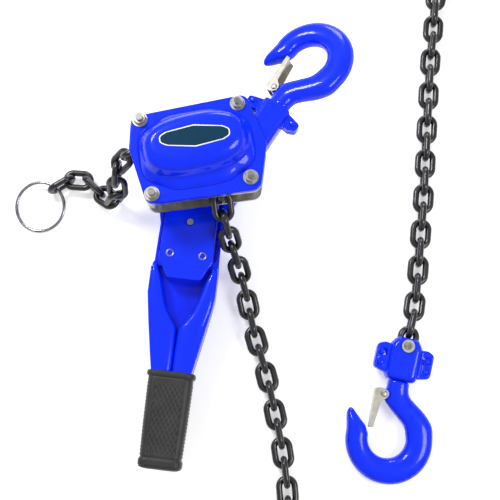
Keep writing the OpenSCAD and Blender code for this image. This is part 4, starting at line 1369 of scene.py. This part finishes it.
class HOIST_OT_blocks(bpy.types.Operator):
    """Forges the halves of the bottom block and finishes the top yoke and the rivets"""

    bl_idname = "hoist.blocks"
    bl_label = "Yoke and block"

    def execute(self, context):
        blank = block_forging()
        for name, roll, node_name in (
            ("forged_block_front", 0.0, "bottom_block_front"),
            ("forged_block_back", math.pi, "bottom_block_back"),
        ):
            place = hook_frame("bottom_block_swing", "bottom_hook_swivel", roll, 0.0)
            half = carried(place, blank)
            piece = new_piece(name, half, "forged_enamel", "bottom_block", [node_name])
        for node_name in ("top_yoke_front", "top_yoke_back"):
            dress("forged_enamel", node_name)
            soften(node_name, 0.7, 6)
        dress("forged_enamel", "yoke_rivets", "block_rivets")
        return {"FINISHED"}


class HOIST_OT_latches(bpy.types.Operator):
    """Finishes the pressed safety latches and their rivets"""

    bl_idname = "hoist.latches"
    bl_label = "Latches"

    def execute(self, context):
        dress("zinc_plate", "top_latch", "bottom_latch", "top_latch_pin", "bottom_latch_pin")
        soften_edges(0.25, "top_latch", "bottom_latch")
        return {"FINISHED"}


# ---- Stage ----

# The camera's place and what it looks at, in metres
CAMERA = (0.0646, -0.3449, 1.2249)
TARGET = Vector((0.0646, -0.0957, 0.0))
LENS_MM = 70.0
SENSOR_MM = 36.0
# Name, place, width of the disc in metres and power in watts
LAMPS = (
    ("key_softbox", (-0.7, 0.75, 1.45), 0.5, 19),
    ("fill_softbox", (0.95, -0.5, 1.2), 0.6, 9),
    ("rim_strip", (0.2, 1.5, 0.6), 0.6, 8),
)
# Width of the floor in metres, and how far it lies under the object's lowest point
FLOOR_SIZE = 12
FLOOR_GAP = 0.0002
# Light that the floor adds where it is seen, and the strength of the sky
FLOOR_GLOW = 0.42
SKY_STRENGTH = 0.48


class HOIST_OT_stage(bpy.types.Operator):
    """Adds the surface, the lamps, the sky and the camera"""

    bl_idname = "hoist.stage"
    bl_label = "Stage"

    def execute(self, context):
        scene = context.scene
        scene.view_settings.view_transform = "Standard"
        add_floor()
        for name, place, width, power in LAMPS:
            light = bpy.data.lights.new(name, "AREA")
            light.shape = "DISK"
            light.size = width
            light.energy = power
            aim(name, light, place)
        add_sky(scene)
        camera = bpy.data.cameras.new("camera")
        camera.lens = LENS_MM
        camera.sensor_width = SENSOR_MM
        scene.camera = aim("camera", camera, CAMERA)
        return {"FINISHED"}


def aim(name, data, place):
    """A lamp or camera at its place, turned to the target."""
    item = bpy.data.objects.new(name, data)
    item.location = place
    item.rotation_euler = (TARGET - Vector(place)).to_track_quat("-Z", "Y").to_euler()
    bpy.context.scene.collection.objects.link(item)
    return item


def add_floor():
    """A plain pale surface that fades to a white ground."""
    bpy.ops.mesh.primitive_plane_add(size=FLOOR_SIZE, location=(0, 0, -FLOOR_GAP))
    floor = bpy.context.object
    floor.name = "floor"
    name = colours().floor
    material = surface(
        "matt_white_card",
        {"tooth": Pattern(CLOUDS, 3, {"Detail": 3.0})},
        tones=("tooth", [(0.3, tinted(name, 0.98)), (0.7, linear(name))]),
        values={"Roughness": 0.9, "Specular IOR Level": 0.1},
    )
    tree = material.node_tree
    white = {"Color": linear("#FFFFFF"), "Strength": FLOOR_GLOW}
    glow = add_node(tree, "ShaderNodeEmission", links=white).outputs[0]
    dark = add_node(tree, "ShaderNodeEmission", links={"Strength": 0.0}).outputs[0]
    rays = add_node(tree, "ShaderNodeLightPath").outputs
    either = {0: rays["Is Camera Ray"], 1: rays["Is Glossy Ray"]}
    seen = add_node(tree, "ShaderNodeMath", {"operation": "MAXIMUM"}, either).outputs[0]
    lit = add_node(tree, "ShaderNodeMixShader", links={"Fac": seen, 1: dark, 2: glow}).outputs[0]
    card = tree.nodes["Principled BSDF"].outputs[0]
    both = add_node(tree, "ShaderNodeAddShader", links={0: card, 1: lit}).outputs[0]
    tree.links.new(both, tree.nodes["Material Output"].inputs["Surface"])
    floor.data.materials.append(material)


def add_sky(scene):
    """A plain, modest sky that is white where it is seen."""
    scene.world = bpy.data.worlds.new("sky")
    scene.world.use_nodes = True
    tree = scene.world.node_tree
    tree.nodes.clear()
    white = linear("#FFFFFF")
    light, seen = [
        add_node(tree, "ShaderNodeBackground", links={"Color": white, "Strength": strength}).outputs[0]
        for strength in (SKY_STRENGTH, 1.0)
    ]
    camera_ray = add_node(tree, "ShaderNodeLightPath").outputs["Is Camera Ray"]
    mixed = add_node(tree, "ShaderNodeMixShader", links={"Fac": camera_ray, 1: light, 2: seen})
    output = add_node(tree, "ShaderNodeOutputWorld", links={"Surface": mixed.outputs[0]})
    output.is_active_output = True


# ---- Panel and run ----


class HOIST_PT_panel(bpy.types.Panel):
    bl_label = "Lever Chain Hoist"
    bl_idname = "HOIST_PT_panel"
    bl_space_type = "VIEW_3D"
    bl_region_type = "UI"
    bl_category = "Hoist"

    def draw(self, context):
        layout = self.layout
        for group in (context.scene.hoist_sizes, context.scene.hoist_colours):
            for key in group.bl_rna.properties.keys():
                if key not in {"rna_type", "name"}:
                    layout.prop(group, key)
        for operator in OPERATORS:
            layout.operator(operator.bl_idname)


OPERATORS = (
    HOIST_OT_stage,
    HOIST_OT_gear_cover,
    HOIST_OT_badge,
    HOIST_OT_side_plates,
    HOIST_OT_corner_fasteners,
    HOIST_OT_brake,
    HOIST_OT_lever,
    HOIST_OT_head_plate,
    HOIST_OT_grip,
    HOIST_OT_chain,
    HOIST_OT_hooks,
    HOIST_OT_blocks,
    HOIST_OT_latches,
    HOIST_OT_works,
)
CLASSES = (HoistSizes, HoistColours, *OPERATORS, HOIST_PT_panel)


def register():
    for item in CLASSES:
        bpy.utils.register_class(item)
    bpy.types.Scene.hoist_sizes = bpy.props.PointerProperty(type=HoistSizes)
    bpy.types.Scene.hoist_colours = bpy.props.PointerProperty(type=HoistColours)


def unregister():
    del bpy.types.Scene.hoist_colours
    del bpy.types.Scene.hoist_sizes
    for item in reversed(CLASSES):
        bpy.utils.unregister_class(item)


def main():
    register()
    bpy.ops.hoist.stage()
    bpy.ops.hoist.gear_cover()
    bpy.ops.hoist.badge()
    bpy.ops.hoist.side_plates()
    bpy.ops.hoist.corner_fasteners()
    bpy.ops.hoist.brake()
    bpy.ops.hoist.lever()
    bpy.ops.hoist.head_plate()
    bpy.ops.hoist.grip()
    bpy.ops.hoist.chain()
    bpy.ops.hoist.hooks()
    bpy.ops.hoist.blocks()
    bpy.ops.hoist.latches()
    bpy.ops.hoist.works()


if __name__ == "__main__":
    main()
